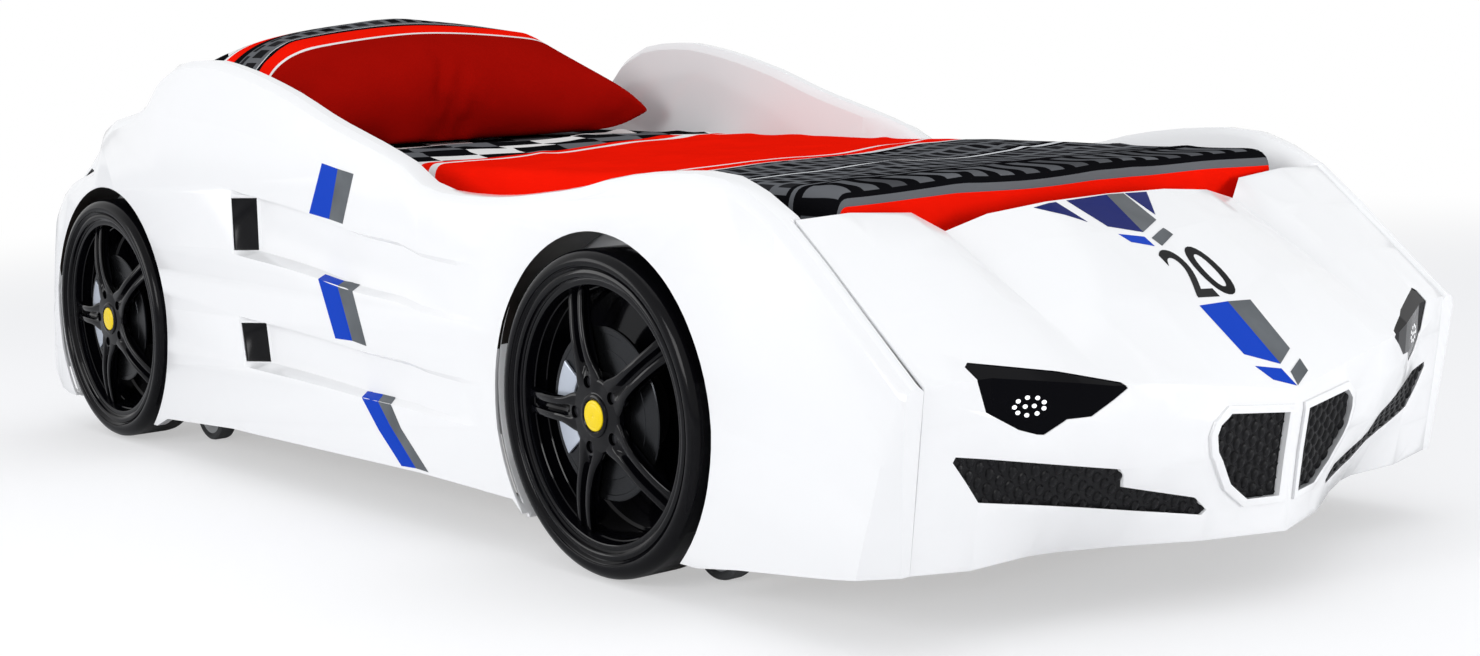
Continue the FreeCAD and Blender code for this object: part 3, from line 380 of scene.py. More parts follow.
filmGrey = plastic("FilmGrey", (0.11, 0.12, 0.13), 0.3, mottle=0.55, mottleScale=14, bump=0.02, specular=0.06)
filmNavy = plastic("FilmNavy", (0.001, 0.008, 0.12), 0.25, mottle=0.2, bump=0.02, specular=0.03)
filmBlack = plastic("FilmBlack", (0.002, 0.002, 0.003), 0.3, mottle=0.1, bump=0.02, specular=0.06)

nodeFinishes = {"foot_board": boardWhite, "head_board": boardWhite, "left_side_board": boardWhite,
                "right_side_board": boardWhite, "left_ledger": pineAlong, "right_ledger": pineAlong,
                "slats": pineAcross, "centre_beam": pineAlong, "corner_blocks": pineAcross,
                "front_castor_bearer": pineAcross, "rear_castor_bearer": pineAcross,
                "castor_forks": zinc, "castor_axles": zinc, "castor_screws": zinc, "wheel_bolts": boltDark,
                "panel_screws": zinc, "wheel_spacers": spacerBlack, "left_headlight_leds": ledWhite,
                "right_headlight_leds": ledWhite, "left_headlight_lens": lampBlack,
                "right_headlight_lens": lampBlack}
for node, finish in nodeFinishes.items():
    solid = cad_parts[node]
    solid.data.materials.clear()
    solid.data.materials.append(finish)
print("finishes are ready")


# The white moulded skins: the CAD shapes with softened edges

skins = {"bevel": 1.6, "segments": 2, "crease": 26, "archRadius": 233.5, "archInner": 430,
         "darkFrom": 0.3, "facing": -0.5}
skinOf = {}
for node in ("left_side_skin", "right_side_skin", "hood_and_bumper_skin", "tail_skin"):
    shell = copyOfNode(node, node + "_shell")
    applied(shell, "BEVEL", width=skins["bevel"] * mm, segments=skins["segments"], limit_method="ANGLE",
            angle_limit=math.radians(skins["crease"]), use_clamp_overlap=True)
    finished(shell, bodyWhite, stands=(node,), smooth=28)
    shell.data.materials.append(archShadePaint)
    for face in shell.data.polygons:
        for placeY in wheelPlaces.values():
            fromAxle = face.center - Vector((face.center.x, placeY, wheelHeight))
            # the upper part of the liner, which looks back at the wheel, is painted dark as shade: the liner
            # is white body plastic in shadow there
            inArch = (fromAxle.length < skins["archRadius"] * mm
                      and abs(face.center.x) > skins["archInner"] * mm)
            shaded = fromAxle.z > skins["darkFrom"] * fromAxle.length
            if inArch and shaded and face.normal.dot(fromAxle.normalized()) < skins["facing"]:
                face.material_index = 1
    skinOf[node] = surfaceOf(shell)
print("skins are ready")


# Film graphics: thin patches pressed onto the skins

film = {"lift": 0.5, "thick": 0.35, "step": 3.0, "clear": 0.6, "runUp": 0.3}


def pressed(piece, name, finish, surface, along):
    # every point is thrown along a direction onto the skin, and the film gets its thickness there
    for vertex in piece.data.vertices:
        hit, normal = surface.ray_cast(vertex.co - along * film["runUp"], along)[:2]
        if hit is not None:
            outward = normal if normal.dot(along) < 0 else -normal
            vertex.co = hit + outward * film["lift"] * mm
    opened(piece)
    bpy.ops.mesh.remove_doubles(threshold=0.00002)
    bpy.ops.object.mode_set(mode="OBJECT")
    turnedIn = sum(face.normal.dot(along) * face.area for face in piece.data.polygons) > 0
    if turnedIn:
        piece.data.flip_normals()
    applied(piece, "SOLIDIFY", thickness=film["thick"] * mm, offset=-1)
    named(piece, name)
    return finished(piece, finish, smooth=40)


def patch(name, finish, corners, surface, along, place):
    # corners: four 2-D points in mm, in order round the patch
    first, second, third, fourth = (Vector(corner) for corner in corners)
    wide = max((second - first).length, (third - fourth).length)
    tall = max((fourth - first).length, (third - second).length)
    putDown()
    bpy.ops.mesh.primitive_grid_add(size=1, x_subdivisions=max(int(wide / film["step"]), 2),
                                    y_subdivisions=max(int(tall / film["step"]), 2))
    piece = bpy.context.object
    for vertex in piece.data.vertices:
        u, v = vertex.co.x + 0.5, vertex.co.y + 0.5
        spot = (first * (1 - u) + second * u) * (1 - v) + (fourth * (1 - u) + third * u) * v
        vertex.co = place(spot * mm)
    return pressed(piece, name, finish, surface, along)


# (Y, Z) corners on the flank, in mm: blue and grey halves of each stripe
flankStripes = {
    "upper": ([(158, 511), (111, 504), (140, 429), (200, 435)],
              [(111, 504), (66, 498), (101, 424), (140, 429)]),
    "middle": ([(181, 343), (123, 337), (83, 253), (134, 252)],
               [(123, 337), (81, 335), (43, 249), (83, 253)]),
    "lowerTop": ([(68, 178), (22, 179), (-17, 140), (16, 129)],
                 [(22, 179), (-15, 179), (-47, 139), (-17, 140)]),
    "lowerFoot": ([(16, 129), (-17, 140), (-85, 86), (-45, 84)],
                  [(-17, 140), (-47, 139), (-118, 85), (-85, 86)]),
}
for side, sign in sides.items():
    skin = skinOf[f"{side}_side_skin"]
    for label, halves in flankStripes.items():
        for shade, finish, corners in zip(("blue", "grey"), (filmBlue, filmGrey), halves):
            patch(f"{side}_{label}_stripe_{shade}", finish, corners, skin, Vector((-sign, 0, 0)),
                  lambda spot, sign=sign: Vector((sign * film["clear"], spot.x, spot.y)))

# (X, Y) corners on the hood, in mm
hoodFilms = {
    "hood_triangle_left": (filmNavy, [(-136, -922.5), (-97, -922.5), (-90, -967), (-90, -967)]),
    "hood_band_blue": (filmNavy, [(-78, -922.5), (-5, -922.5), (-24, -998), (-68, -980)]),
    "hood_band_grey": (filmGrey, [(-5, -922.5), (27, -922.5), (23, -979), (-24, -998)]),
    "hood_triangle_right": (filmNavy, [(30, -922.5), (71, -922.5), (33, -969), (33, -969)]),
    "hood_chevron_blue": (filmBlue, [(-67, -996), (-30, -1005), (-29, -1020), (-60, -1010)]),
    "hood_chevron_grey": (filmGrey, [(-20, -1008), (17, -995), (21, -1007), (-16, -1021)]),
    "brow_band_blue": (filmBlue, [(-54, -1109), (-1, -1108), (2, -1183), (-45, -1167)]),
    "brow_band_grey": (filmGrey, [(-1, -1108), (38, -1111), (37, -1170), (2, -1183)]),
    "brow_chevron_blue": (filmBlue, [(-43, -1181), (-3, -1188), (0, -1208), (-31, -1198)]),
    "brow_chevron_grey": (filmGrey, [(8, -1193), (40, -1182), (37, -1196), (2, -1208)]),
}
hoodSkin = skinOf["hood_and_bumper_skin"]
down = Vector((0, 0, -1))
for label, (finish, corners) in hoodFilms.items():
    patch(label, finish, corners, hoodSkin, down, lambda spot: Vector((spot.x, spot.y, film["clear"])))

number = {"text": "20", "height": 74, "centre": (-2, -1064), "slant": 0.1, "squeeze": 0.84, "bolder": 0.012,
          "curveSteps": 6, "cuts": 8, "cutStep": 7, "cutMiddle": -1065}
putDown()
bpy.ops.object.text_add()
bpy.context.object.data.body = number["text"]
bpy.context.object.data.shear = number["slant"]
bpy.context.object.data.resolution_u = number["curveSteps"]
bpy.context.object.data.offset = number["bolder"]
bpy.ops.object.convert(target="MESH")
digits = bpy.context.object
places = [vertex.co for vertex in digits.data.vertices]
low = Vector(min(place[axis] for place in places) for axis in range(2))
high = Vector(max(place[axis] for place in places) for axis in range(2))
grow = number["height"] * mm / (high.y - low.y)
for vertex in digits.data.vertices:
    x = (vertex.co.x - (low.x + high.x) / 2) * grow * number["squeeze"] + number["centre"][0] * mm
    y = (vertex.co.y - (low.y + high.y) / 2) * grow + number["centre"][1] * mm
    vertex.co = (x, y, film["clear"])
takeUp(digits)
bpy.ops.object.mode_set(mode="EDIT")
for cutPlace in range(-number["cuts"], number["cuts"] + 1):
    cutAt = cutPlace * number["cutStep"] * mm
    cutSpot = (cutAt, number["cutMiddle"] * mm + cutAt, film["clear"])
    for normal in ((1, 0, 0), (0, 1, 0)):
        cutAcross(cutSpot, normal)
bpy.ops.object.mode_set(mode="OBJECT")
pressed(digits, "hood_number", filmBlack, hoodSkin, down)
print("film graphics are ready")


# Wheels: built once round the X axis, then placed at the four corners

tyre = {"profile": [(0, 184), (0, 199), (2.5, 205), (8, 209), (16, 210), (78, 210), (83.5, 209.2),
                    (88, 206.6), (91, 202.6), (92.7, 198), (93, 194), (92.2, 190.8), (90.6, 190.2),
                    (90.2, 189.2), (88.6, 188.2), (87, 186.4), (86.4, 184)]}
# rows of a spoke: (reach, front, half width, groove); columns: (share of the half width, drop)
rim = {"profile": [(8, 55), (12, 55), (12, 157), (15, 160.5), (48, 161.6), (49, 160.4), (51, 160.4),
                   (52, 161.8), (66, 162.6), (67, 161.4), (69, 161.4), (70, 162.9), (80, 164.6),
                   (82.6, 165.6), (83.4, 168), (83, 172.8), (84.2, 175), (88, 176), (89.2, 177.8),
                   (89.4, 181), (88.6, 184.4), (87, 185.4), (86, 183.9), (8, 183.9)],
       "hub": [(74, 3), (74, 45), (79, 48.6), (85.6, 49), (87.8, 47.4), (88.4, 44), (88.4, 30), (88.8, 28),
               (90.6, 27.4), (91.4, 26), (91.4, 22.2), (90.4, 21), (87, 20.8), (87, 3)],
       "rows": [(24, 87.6, 27, 0), (36, 88, 27, 0), (46, 88.6, 26.5, 0), (54, 89.3, 24, 1.5),
                (62, 89.9, 20.5, 6), (72, 90.4, 17.5, 10.5), (84, 90.6, 16.6, 11), (97, 90.2, 16.4, 11),
                (110, 88.9, 16.2, 11), (124, 86.6, 16, 11), (138, 83.6, 16, 11), (151, 80.4, 16.4, 11),
                (167, 76.4, 18, 10)],
       "columns": [(-1, 3.2), (-0.93, 1), (-0.82, 0), (-0.42, 0), (-0.33, 0.9), (-0.27, 99), (0.27, 99),
                   (0.33, 0.9), (0.42, 0), (0.82, 0), (0.93, 1), (1, 3.2)],
       "thick": 14, "count": 5, "grooveShare": 0.4, "lugRadius": 44, "lugHole": 8.0, "lugFront": 91,
       "lugDepth": 24}
cap = {"profile": [(87.2, 0.6), (87.2, 19.6), (90.4, 19.9), (91.3, 19), (91.9, 16.6), (91.6, 16.2),
                   (91.6, 15.4), (92, 15), (92.3, 8), (92.4, 0.6)], "bevel": 0.3}
disc = {"profile": [(66, 54.3), (66, 110.5), (67, 112), (71, 112), (72, 110.5), (72, 104), (71.4, 103.4),
                    (71.4, 84), (72, 83.4), (72, 54.3)],
        "caliper": [(72, 66), (72, 101), (73.2, 102.4), (75, 101), (75.6, 98), (75.6, 69), (75, 66.6),
                    (73.2, 65.2)], "caliperHalf": 37, "caliperBevel": 0.6}
tyreShape = turned("tyre_shape", tyre["profile"], 128)
discShape = turned("disc_shape", disc["profile"], 96)
caliper = turned("caliper_shape", disc["caliper"], 72)
takeUp(caliper)
bpy.ops.object.mode_set(mode="EDIT")
halfAngle = math.radians(disc["caliperHalf"])
for turnSide in (1, -1):
    sector = (0, math.sin(halfAngle), turnSide * -math.cos(halfAngle))
    cutAcross((0, 0, 0), sector, use_fill=True, clear_inner=True)
bpy.ops.mesh.select_all(action="SELECT")
bpy.ops.mesh.normals_make_consistent(inside=False)
bpy.ops.object.mode_set(mode="OBJECT")
applied(caliper, "BEVEL", width=disc["caliperBevel"] * mm, segments=2, limit_method="ANGLE",
        angle_limit=math.radians(60))
barrel = turned("barrel_shape", rim["profile"], 128)
hub = turned("hub_shape", rim["hub"], 80)

putDown()
bpy.ops.mesh.primitive_grid_add(size=1, x_subdivisions=len(rim["columns"]) - 1,
                                y_subdivisions=len(rim["rows"]) - 1)
spoke = named(bpy.context.object, "spoke_shape")
for vertex in spoke.data.vertices:
    column = round((vertex.co.x + 0.5) * (len(rim["columns"]) - 1))
    row = round((vertex.co.y + 0.5) * (len(rim["rows"]) - 1))
    share, drop = rim["columns"][column]
    reach, front, half, groove = rim["rows"][row]
    sunk = min(drop, groove) if abs(share) < rim["grooveShare"] else drop
    vertex.co = Vector((front - sunk, share * half, reach)) * mm
applied(spoke, "SOLIDIFY", thickness=rim["thick"] * mm, offset=-1)
applied(spoke, "SUBSURF", levels=1, render_levels=1)

# lug holes through the spoke roots and the hub
putDown()
bpy.ops.mesh.primitive_cylinder_add(vertices=28, radius=rim["lugHole"] * mm, depth=rim["lugDepth"] * mm,
                                    location=(rim["lugFront"] * mm, 0, rim["lugRadius"] * mm),
                                    rotation=(0, math.pi / 2, 0))
drill = named(bpy.context.object, "drill")
bpy.ops.object.transform_apply(location=True, rotation=True, scale=True)
applied(spoke, "BOOLEAN", operation="DIFFERENCE", solver="EXACT", object=drill)
turns = [Matrix.Rotation(math.tau * index / rim["count"], 4, "X") for index in range(rim["count"])]
drills = fused("drills", [copyOf(drill, f"drill_{index}", turn) for index, turn in enumerate(turns)])
applied(hub, "BOOLEAN", operation="DIFFERENCE", solver="EXACT", object=drills)
for tool in (drill, drills):
    bpy.data.objects.remove(tool)
quarter = Matrix.Rotation(math.radians(-90), 4, "X")     # one spoke points to +Y
spokes = [copyOf(spoke, f"spoke_{index}", quarter @ turn) for index, turn in enumerate(turns)]
hub.data.transform(quarter)
rimShape = fused("rim_shape", [barrel, hub] + spokes)
bpy.data.objects.remove(spoke)
capShape = turned("cap_shape", cap["profile"], 48)
applied(capShape, "BEVEL", width=cap["bevel"] * mm, segments=2, limit_method="ANGLE",
        angle_limit=math.radians(25))

for end, placeY in wheelPlaces.items():
    for side, sign in sides.items():
        corner = f"{end}_{side}"
        place = (Matrix.Translation((sign * wheelInner, placeY, wheelHeight))
                 @ Matrix.Diagonal((sign, 1, 1, 1)))
        for label, shape, finish, slotName in (("tyre", tyreShape, tyreBlack, "tyre_plastic"),
                                               ("rim", rimShape, rimBlack, "rim_plastic"),
                                               ("brake_disc", discShape, discSteel, "disc_plastic"),
                                               ("centre_cap", capShape, capYellow, "cap_plastic")):
            piece = copyOf(shape, f"{corner}_{label}_piece", place, sign < 0)
            finished(piece, finish, stands=(f"{corner}_{label}",))
        finished(copyOf(caliper, f"{corner}_caliper", place, sign < 0), caliperSilver)
for shape in (tyreShape, rimShape, capShape, discShape, caliper):
    bpy.data.objects.remove(shape)
print("wheels are ready")


# Castors

castor = {"tread": [(-12.6, 38), (-14.6, 40), (-15.4, 43), (-15, 46.6), (-12.8, 49), (-9, 50), (9, 50),
                    (12.8, 49), (15, 46.6), (15.4, 43), (14.6, 40), (12.6, 38)],
          "hub": [(-16, 5.3), (-16, 10.4), (-13, 12), (-10.6, 14), (-10.2, 31), (-12, 35.6), (-12.6, 38.2),
                  (12.6, 38.2), (12, 35.6), (10.2, 31), (10.6, 14), (13, 12), (16, 10.4), (16, 5.3)],
          "places": {"front": -0.630, "rear": 0.795}, "x": 0.398, "z": 0.05}
treadShape = turned("tread_shape", castor["tread"], 64)
castorHub = turned("castor_hub_shape", castor["hub"], 64)
for end, placeY in castor["places"].items():
    for side, sign in sides.items():
        corner = f"{end}_{side}"
        place = Matrix.Translation((sign * castor["x"], placeY, castor["z"]))
        finished(copyOf(treadShape, f"{corner}_castor_tread", place), castorTread,
                 f"{corner}_castor", (f"{corner}_castor_wheel",))
        finished(copyOf(castorHub, f"{corner}_castor_hub", place), castorGrey,
                 f"{corner}_castor")
for shape in (treadShape, castorHub):
    bpy.data.objects.remove(shape)
print("castors are ready")


# Grilles: a plate with staggered raised scales; vents: inset black plugs

grille = {"pitch": (12.5, 17.0), "scale": (5.6, 8.6), "rise": 3.4, "lean": 0.28, "sunk": 0.2,
          "tiers": ((0.7, 0.72), (0.3, 0.35)), "from": -1.6, "facing": -0.2}
vent = {"inset": 2.2, "depth": 1.2, "bevel": 0.5}


def scaledGrille(node):
    plate = copyOfNode(node, node + "_mesh")
    surface = surfaceOf(plate)
    low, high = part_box(node)
    putDown()
    bpy.ops.mesh.primitive_circle_add(vertices=8, radius=1, fill_type="NGON")
    scale = bpy.context.object
    bpy.ops.object.mode_set(mode="EDIT")
    bpy.ops.mesh.select_all(action="SELECT")
    for rise, share in grille["tiers"]:
        bpy.ops.mesh.extrude_region_move(TRANSFORM_OT_translate={"value": (0, 0, rise)})
        bpy.ops.transform.resize(value=(share, share, 1))
    bpy.ops.object.mode_set(mode="OBJECT")
    stepX, stepZ = (value * mm for value in grille["pitch"])
    wide, tall = (value * mm for value in grille["scale"])
    parts = [plate]
    column = 0
    x = low.x + stepX / 2
    while x < high.x:
        z = low.z + (stepZ / 2 if column % 2 else 0.0)
        while z < high.z:
            hit, normal = surface.ray_cast(Vector((x, grille["from"], z)), Vector((0, 1, 0)))[:2]
            if hit is not None and normal.y < grille["facing"]:
                axisZ = (Vector((0, 0, 1)) - normal * normal.z).normalized()
                axisX = axisZ.cross(normal)
                lean = normal + axisZ * grille["lean"]
                turn = Matrix((axisX * wide, axisZ * tall, lean * grille["rise"] * mm)).transposed().to_4x4()
                seat = Matrix.Translation(hit - normal * grille["sunk"] * mm)
                parts.append(copyOf(scale, "scale", seat @ turn, turn.determinant() < 0))
            z += stepZ
        x += stepX
        column += 1
    bpy.data.objects.remove(scale)
    return finished(fused(node + "_mesh", parts), grilleBlack, stands=(node,), smooth=50)


for side in sides:
    for kind in ("centre_grille", "lower_grille"):
        scaledGrille(f"{side}_{kind}")
    for kind in ("upper_vent", "lower_vent"):
        plug = copyOfNode(f"{side}_{kind}", f"{side}_{kind}_plug")
        takeUp(plug)
        bpy.ops.object.mode_set(mode="EDIT")
        bpy.ops.mesh.select_all(action="DESELECT")
        bpy.ops.object.mode_set(mode="OBJECT")
        outer = [face for face in plug.data.polygons if face.normal.x * sides[side] > 0]
        widest = max(outer, key=lambda face: face.area)
        widest.select = True
        bpy.ops.object.mode_set(mode="EDIT")
        bpy.ops.mesh.inset(thickness=vent["inset"] * mm, depth=-vent["depth"] * mm)
        bpy.ops.object.mode_set(mode="OBJECT")
        applied(plug, "BEVEL", width=vent["bevel"] * mm, segments=2, limit_method="ANGLE",
                angle_limit=math.radians(30))
        finished(plug, ventBlack, stands=(f"{side}_{kind}",))
print("grilles and vents are ready")


# Bedding: a mattress, a printed cover laid over it and a printed pillow

mattress = {"low": (-0.400, -0.8685, 0.330), "high": (0.400, 1.0315, 0.495), "round": 0.022, "cord": 0.0042,
            "cordInset": 0.005, "cutStep": 0.1, "cutShift": 0.03, "dimple": 0.0009, "dimpleTurn": 31.4,
            "dimpleHalf": 0.37, "dimpleEnds": (-0.83, 1.0), "dimpleOff": 0.07}
cover = {"halfWidth": 0.4025, "front": -0.8705, "rear": 1.0335, "top": 0.5005, "round": 0.020, "skirt": 0.042,
         "step": 0.0125, "puff": 0.0085, "fullest": 1.3, "thick": 0.0024,
         "swells": ((3.1, (0, 0, 0), 0.55), (7.3, (5, 2, 1), 0.3)),
         "foldAcross": (2.2, 1.1), "foldAlong": (-2.5, 6.0), "foldPlace": 3.0, "fold": 0.45, "foldSharp": 6,
         "weighedFrom": 0.47, "weighedFade": 0.06, "weighedHalf": 0.36, "edgeFade": 0.02,
         "ripple": 0.0015, "rippleScale": 9}
pillow = {"case": (0.80, 0.56), "size": (0.742, 0.462, 0.228), "tilt": 14, "rear": 0.984, "bed": 0.5045,
          "cells": (62, 44), "drawnIn": 0.035, "panels": 0.012, "frames": 28, "sink": 0.034, "droop": 0.06,
          "droopSharp": 4, "droopRise": 4, "settle": 0.012, "plump": (3, 0.6),
          "cloth": {"quality": 7, "mass": 0.25, "tension_stiffness": 18, "compression_stiffness": 10,
                    "shear_stiffness": 4, "bending_stiffness": 0.35, "air_damping": 2,
                    "use_pressure": True, "uniform_pressure_force": 9.0}}


def mixOf(tree, factor, first, second):
    mix = nodeOf(tree, "ShaderNodeMix", data_type="RGBA")
    for name, value in (("A", first), ("B", second)):
        socket = colourIn(mix, name)
        if isinstance(value, tuple):
            socket.default_value = (*value, 1)
        else:
            tree.links.new(value, socket)
    tree.links.new(factor, mix.inputs["Factor"])
    return colourOut(mix)


def stepped(tree, value, span, stops):
    # flat bands of colour across a value; stops are (start, colour)
    low, high = span
    share = nodeOf(tree, "ShaderNodeMapRange")
    share.inputs["From Min"].default_value = low
    share.inputs["From Max"].default_value = high
    tree.links.new(value, share.inputs["Value"])
    ramp = nodeOf(tree, "ShaderNodeValToRGB")
    ramp.color_ramp.interpolation = "CONSTANT"
    for index, (start, colour) in enumerate(stops):
        place = (start - low) / (high - low)
        element = ramp.color_ramp.elements[index] if index < 2 else ramp.color_ramp.elements.new(place)
        element.position = place
        element.color = (*colour, 1)
    tree.links.new(share.outputs["Result"], ramp.inputs["Fac"])
    return ramp.outputs["Color"]


clothRed = (0.88, 0.009, 0.002)
deepRed = (0.33, 0.004, 0.002)
clothBlack = (0.005, 0.005, 0.006)
clothGrey = (0.13, 0.135, 0.145)
clothSoot = (0.03, 0.03, 0.033)
clothAsh = (0.07, 0.072, 0.078)
clothPale = (0.66, 0.67, 0.69)
clothWhite = (0.82, 0.81, 0.80)
shown, hidden = (1.0, 1.0, 1.0), (0.0, 0.0, 0.0)
# tread and rung: gap, width and height of a block in metres
printed = {"tread": (0.0065, 0.036, 0.0485), "rung": (0.011, 0.046, 0.105), "drift": 0.014, "lean": 0.42}


def blockRows(tree, vector, colours, gap, width, height):
    blocks = nodeOf(tree, "ShaderNodeTexBrick", offset=0.5, squash=1.0)
    for socket, setting in (("Scale", 1.0), ("Mortar Size", gap), ("Mortar Smooth", 0.1),
                            ("Brick Width", width), ("Row Height", height)):
        blocks.inputs[socket].default_value = setting
    for socket, colour in zip(("Color1", "Color2", "Mortar"), colours):
        blocks.inputs[socket].default_value = (*colour, 1)
    tree.links.new(vector, blocks.inputs["Vector"])
    return blocks.outputs["Color"]


def printedCloth(name, size, fan, span, bands, treads, rungs, checks):
    # bands run across the cloth and fan out from one end: fan is (start, length, slope);
    # treads, rungs and checks are the spans that carry blocks, one row of blocks, or squares
    made = bpy.data.materials.new(name)
    made.use_nodes = True
    tree = made.node_tree
    shader = tree.nodes["Principled BSDF"]
    shader.inputs["Roughness"].default_value = 0.6
    shader.inputs["Specular IOR Level"].default_value = 0.0
    place = nodeOf(tree, "ShaderNodeTexCoord")
    centre = nodeOf(tree, "ShaderNodeMapping")
    centre.inputs["Scale"].default_value = (*size, 1)
    centre.inputs["Location"].default_value = (-size[0] / 2, -size[1] / 2, 0)
    tree.links.new(place.outputs["UV"], centre.inputs["Vector"])
    drift = nodeOf(tree, "ShaderNodeTexNoise", Scale=3.0, Detail=1.0)
    tree.links.new(centre.outputs[0], drift.inputs["Vector"])
    split = nodeOf(tree, "ShaderNodeSeparateXYZ")
    tree.links.new(centre.outputs[0], split.inputs[0])
    opening = nodeOf(tree, "ShaderNodeMapRange")
    for socket, setting in zip(("From Min", "From Max", "To Max"), (fan[0], fan[0] + fan[1], -fan[2])):
        opening.inputs[socket].default_value = setting
    tree.links.new(split.outputs["Y"], opening.inputs["Value"])
    fanned = nodeOf(tree, "ShaderNodeMath", operation="MULTIPLY_ADD")
    tree.links.new(split.outputs["X"], fanned.inputs[0])
    tree.links.new(opening.outputs["Result"], fanned.inputs[1])
    tree.links.new(split.outputs["Y"], fanned.inputs[2])
    bend = nodeOf(tree, "ShaderNodeMath", operation="MULTIPLY_ADD")
    bend.inputs[1].default_value = printed["drift"]
    tree.links.new(drift.outputs["Fac"], bend.inputs[0])
    tree.links.new(fanned.outputs[0], bend.inputs[2])
    value = bend.outputs[0]
    flatPlace = nodeOf(tree, "ShaderNodeCombineXYZ")
    tree.links.new(split.outputs["X"], flatPlace.inputs["X"])
    tree.links.new(value, flatPlace.inputs["Y"])
    base = stepped(tree, value, span, bands)

    for spans, colours, sizes in ((treads, (clothBlack, clothSoot, clothGrey), printed["tread"]),
                                  (rungs, (clothGrey, clothAsh, clothBlack), printed["rung"])):
        blocks = blockRows(tree, flatPlace.outputs[0], colours, *sizes)
        base = mixOf(tree, stepped(tree, value, span, spans), base, blocks)

    lean = nodeOf(tree, "ShaderNodeMapping")
    lean.inputs["Rotation"].default_value = (0, 0, printed["lean"])
    tree.links.new(flatPlace.outputs[0], lean.inputs["Vector"])
    squares = nodeOf(tree, "ShaderNodeTexChecker", Scale=11.0)
    tree.links.new(lean.outputs[0], squares.inputs["Vector"])
    small = nodeOf(tree, "ShaderNodeTexChecker", Scale=5.5)
    tree.links.new(lean.outputs[0], small.inputs["Vector"])
    pale = mixOf(tree, small.outputs["Fac"], clothWhite, clothGrey)
    squared = mixOf(tree, squares.outputs["Fac"], pale, clothBlack)
    coloured = mixOf(tree, stepped(tree, value, span, checks), base, squared)

    soil = nodeOf(tree, "ShaderNodeTexNoise", Scale=9.0, Detail=5.0)
    tree.links.new(centre.outputs[0], soil.inputs["Vector"])
    shade = nodeOf(tree, "ShaderNodeHueSaturation")
    worn = nodeOf(tree, "ShaderNodeMapRange")
    worn.inputs["To Min"].default_value = 0.86
    worn.inputs["To Max"].default_value = 1.12
    tree.links.new(soil.outputs["Fac"], worn.inputs["Value"])
    tree.links.new(worn.outputs["Result"], shade.inputs["Value"])
    tree.links.new(coloured, shade.inputs["Color"])
    tree.links.new(shade.outputs["Color"], shader.inputs["Base Color"])

    # plain weave: warp and weft threads 0.9 mm apart
    threads = []
    for direction in ("X", "Y"):
        thread = nodeOf(tree, "ShaderNodeTexWave", wave_type="BANDS", bands_direction=direction,
                        Scale=350.0)
        tree.links.new(centre.outputs[0], thread.inputs["Vector"])
        threads.append(thread.outputs["Fac"])
    weave = nodeOf(tree, "ShaderNodeMath", operation="MULTIPLY")
    tree.links.new(threads[0], weave.inputs[0])
    tree.links.new(threads[1], weave.inputs[1])
    crease = nodeOf(tree, "ShaderNodeTexNoise", Scale=22.0, Detail=6.0, Distortion=0.8)
    tree.links.new(centre.outputs[0], crease.inputs["Vector"])
    soft = nodeOf(tree, "ShaderNodeBump", Strength=0.22, Distance=0.006)
    tree.links.new(crease.outputs["Fac"], soft.inputs["Height"])
    fine = nodeOf(tree, "ShaderNodeBump", Strength=0.2, Distance=0.0004)
    tree.links.new(weave.outputs[0], fine.inputs["Height"])
    tree.links.new(soft.outputs["Normal"], fine.inputs["Normal"])
    tree.links.new(fine.outputs["Normal"], shader.inputs["Normal"])
    return made


turnDown = math.pi / 2 * cover["round"]
flatHalf = cover["halfWidth"] - cover["round"] + turnDown + cover["skirt"]
middleY = (cover["front"] + cover["rear"]) / 2
halfLong = (cover["rear"] - cover["front"]) / 2
flatLong = halfLong - cover["round"] + turnDown + cover["skirt"]
coverPrint = printedCloth(
    "CoverPrint", (flatHalf * 2, flatLong * 2), (-0.955, 0.5, 0.33), (-1.3, 1.3),
    [(-1.3, clothRed), (-0.960, clothGrey), (-0.952, clothBlack), (-0.836, clothGrey), (-0.826, clothBlack),
     (-0.68, clothPale), (-0.67, clothBlack), (-0.50, clothPale), (-0.488, clothRed), (-0.452, clothWhite),
     (-0.444, clothRed), (0.081, clothWhite), (0.093, clothRed), (0.123, clothBlack), (0.131, clothWhite)],
    [(-1.3, hidden), (-0.815, shown), (-0.69, hidden), (-0.66, shown), (-0.515, hidden)],
    [(-1.3, hidden), (-0.945, shown), (-0.84, hidden)],
    [(-1.3, hidden), (0.131, shown)])
pillowPrint = printedCloth(
    "PillowPrint", pillow["case"], (-1.0, 1.0, 0.0), (-0.28, 0.34),
    [(-0.28, deepRed), (-0.045, clothWhite), (-0.034, clothRed), (0.025, clothBlack), (0.038, clothPale),
     (0.042, clothGrey), (0.12, clothBlack), (0.145, clothRed), (0.175, clothWhite), (0.182, clothGrey)],
    [(-0.28, hidden), (0.045, shown), (0.115, hidden)], [(-0.28, hidden), (0.33, hidden)],
    [(-0.28, hidden), (0.185, shown)])
ticking = plastic("Ticking", (0.70, 0.70, 0.69), 0.8, mottle=0.06, bumpScale=900, bump=0.3, sheen=0.2)
cordGrey = plastic("PipingCord", (0.30, 0.31, 0.33), 0.7, mottle=0.1, bumpScale=700, bump=0.3)

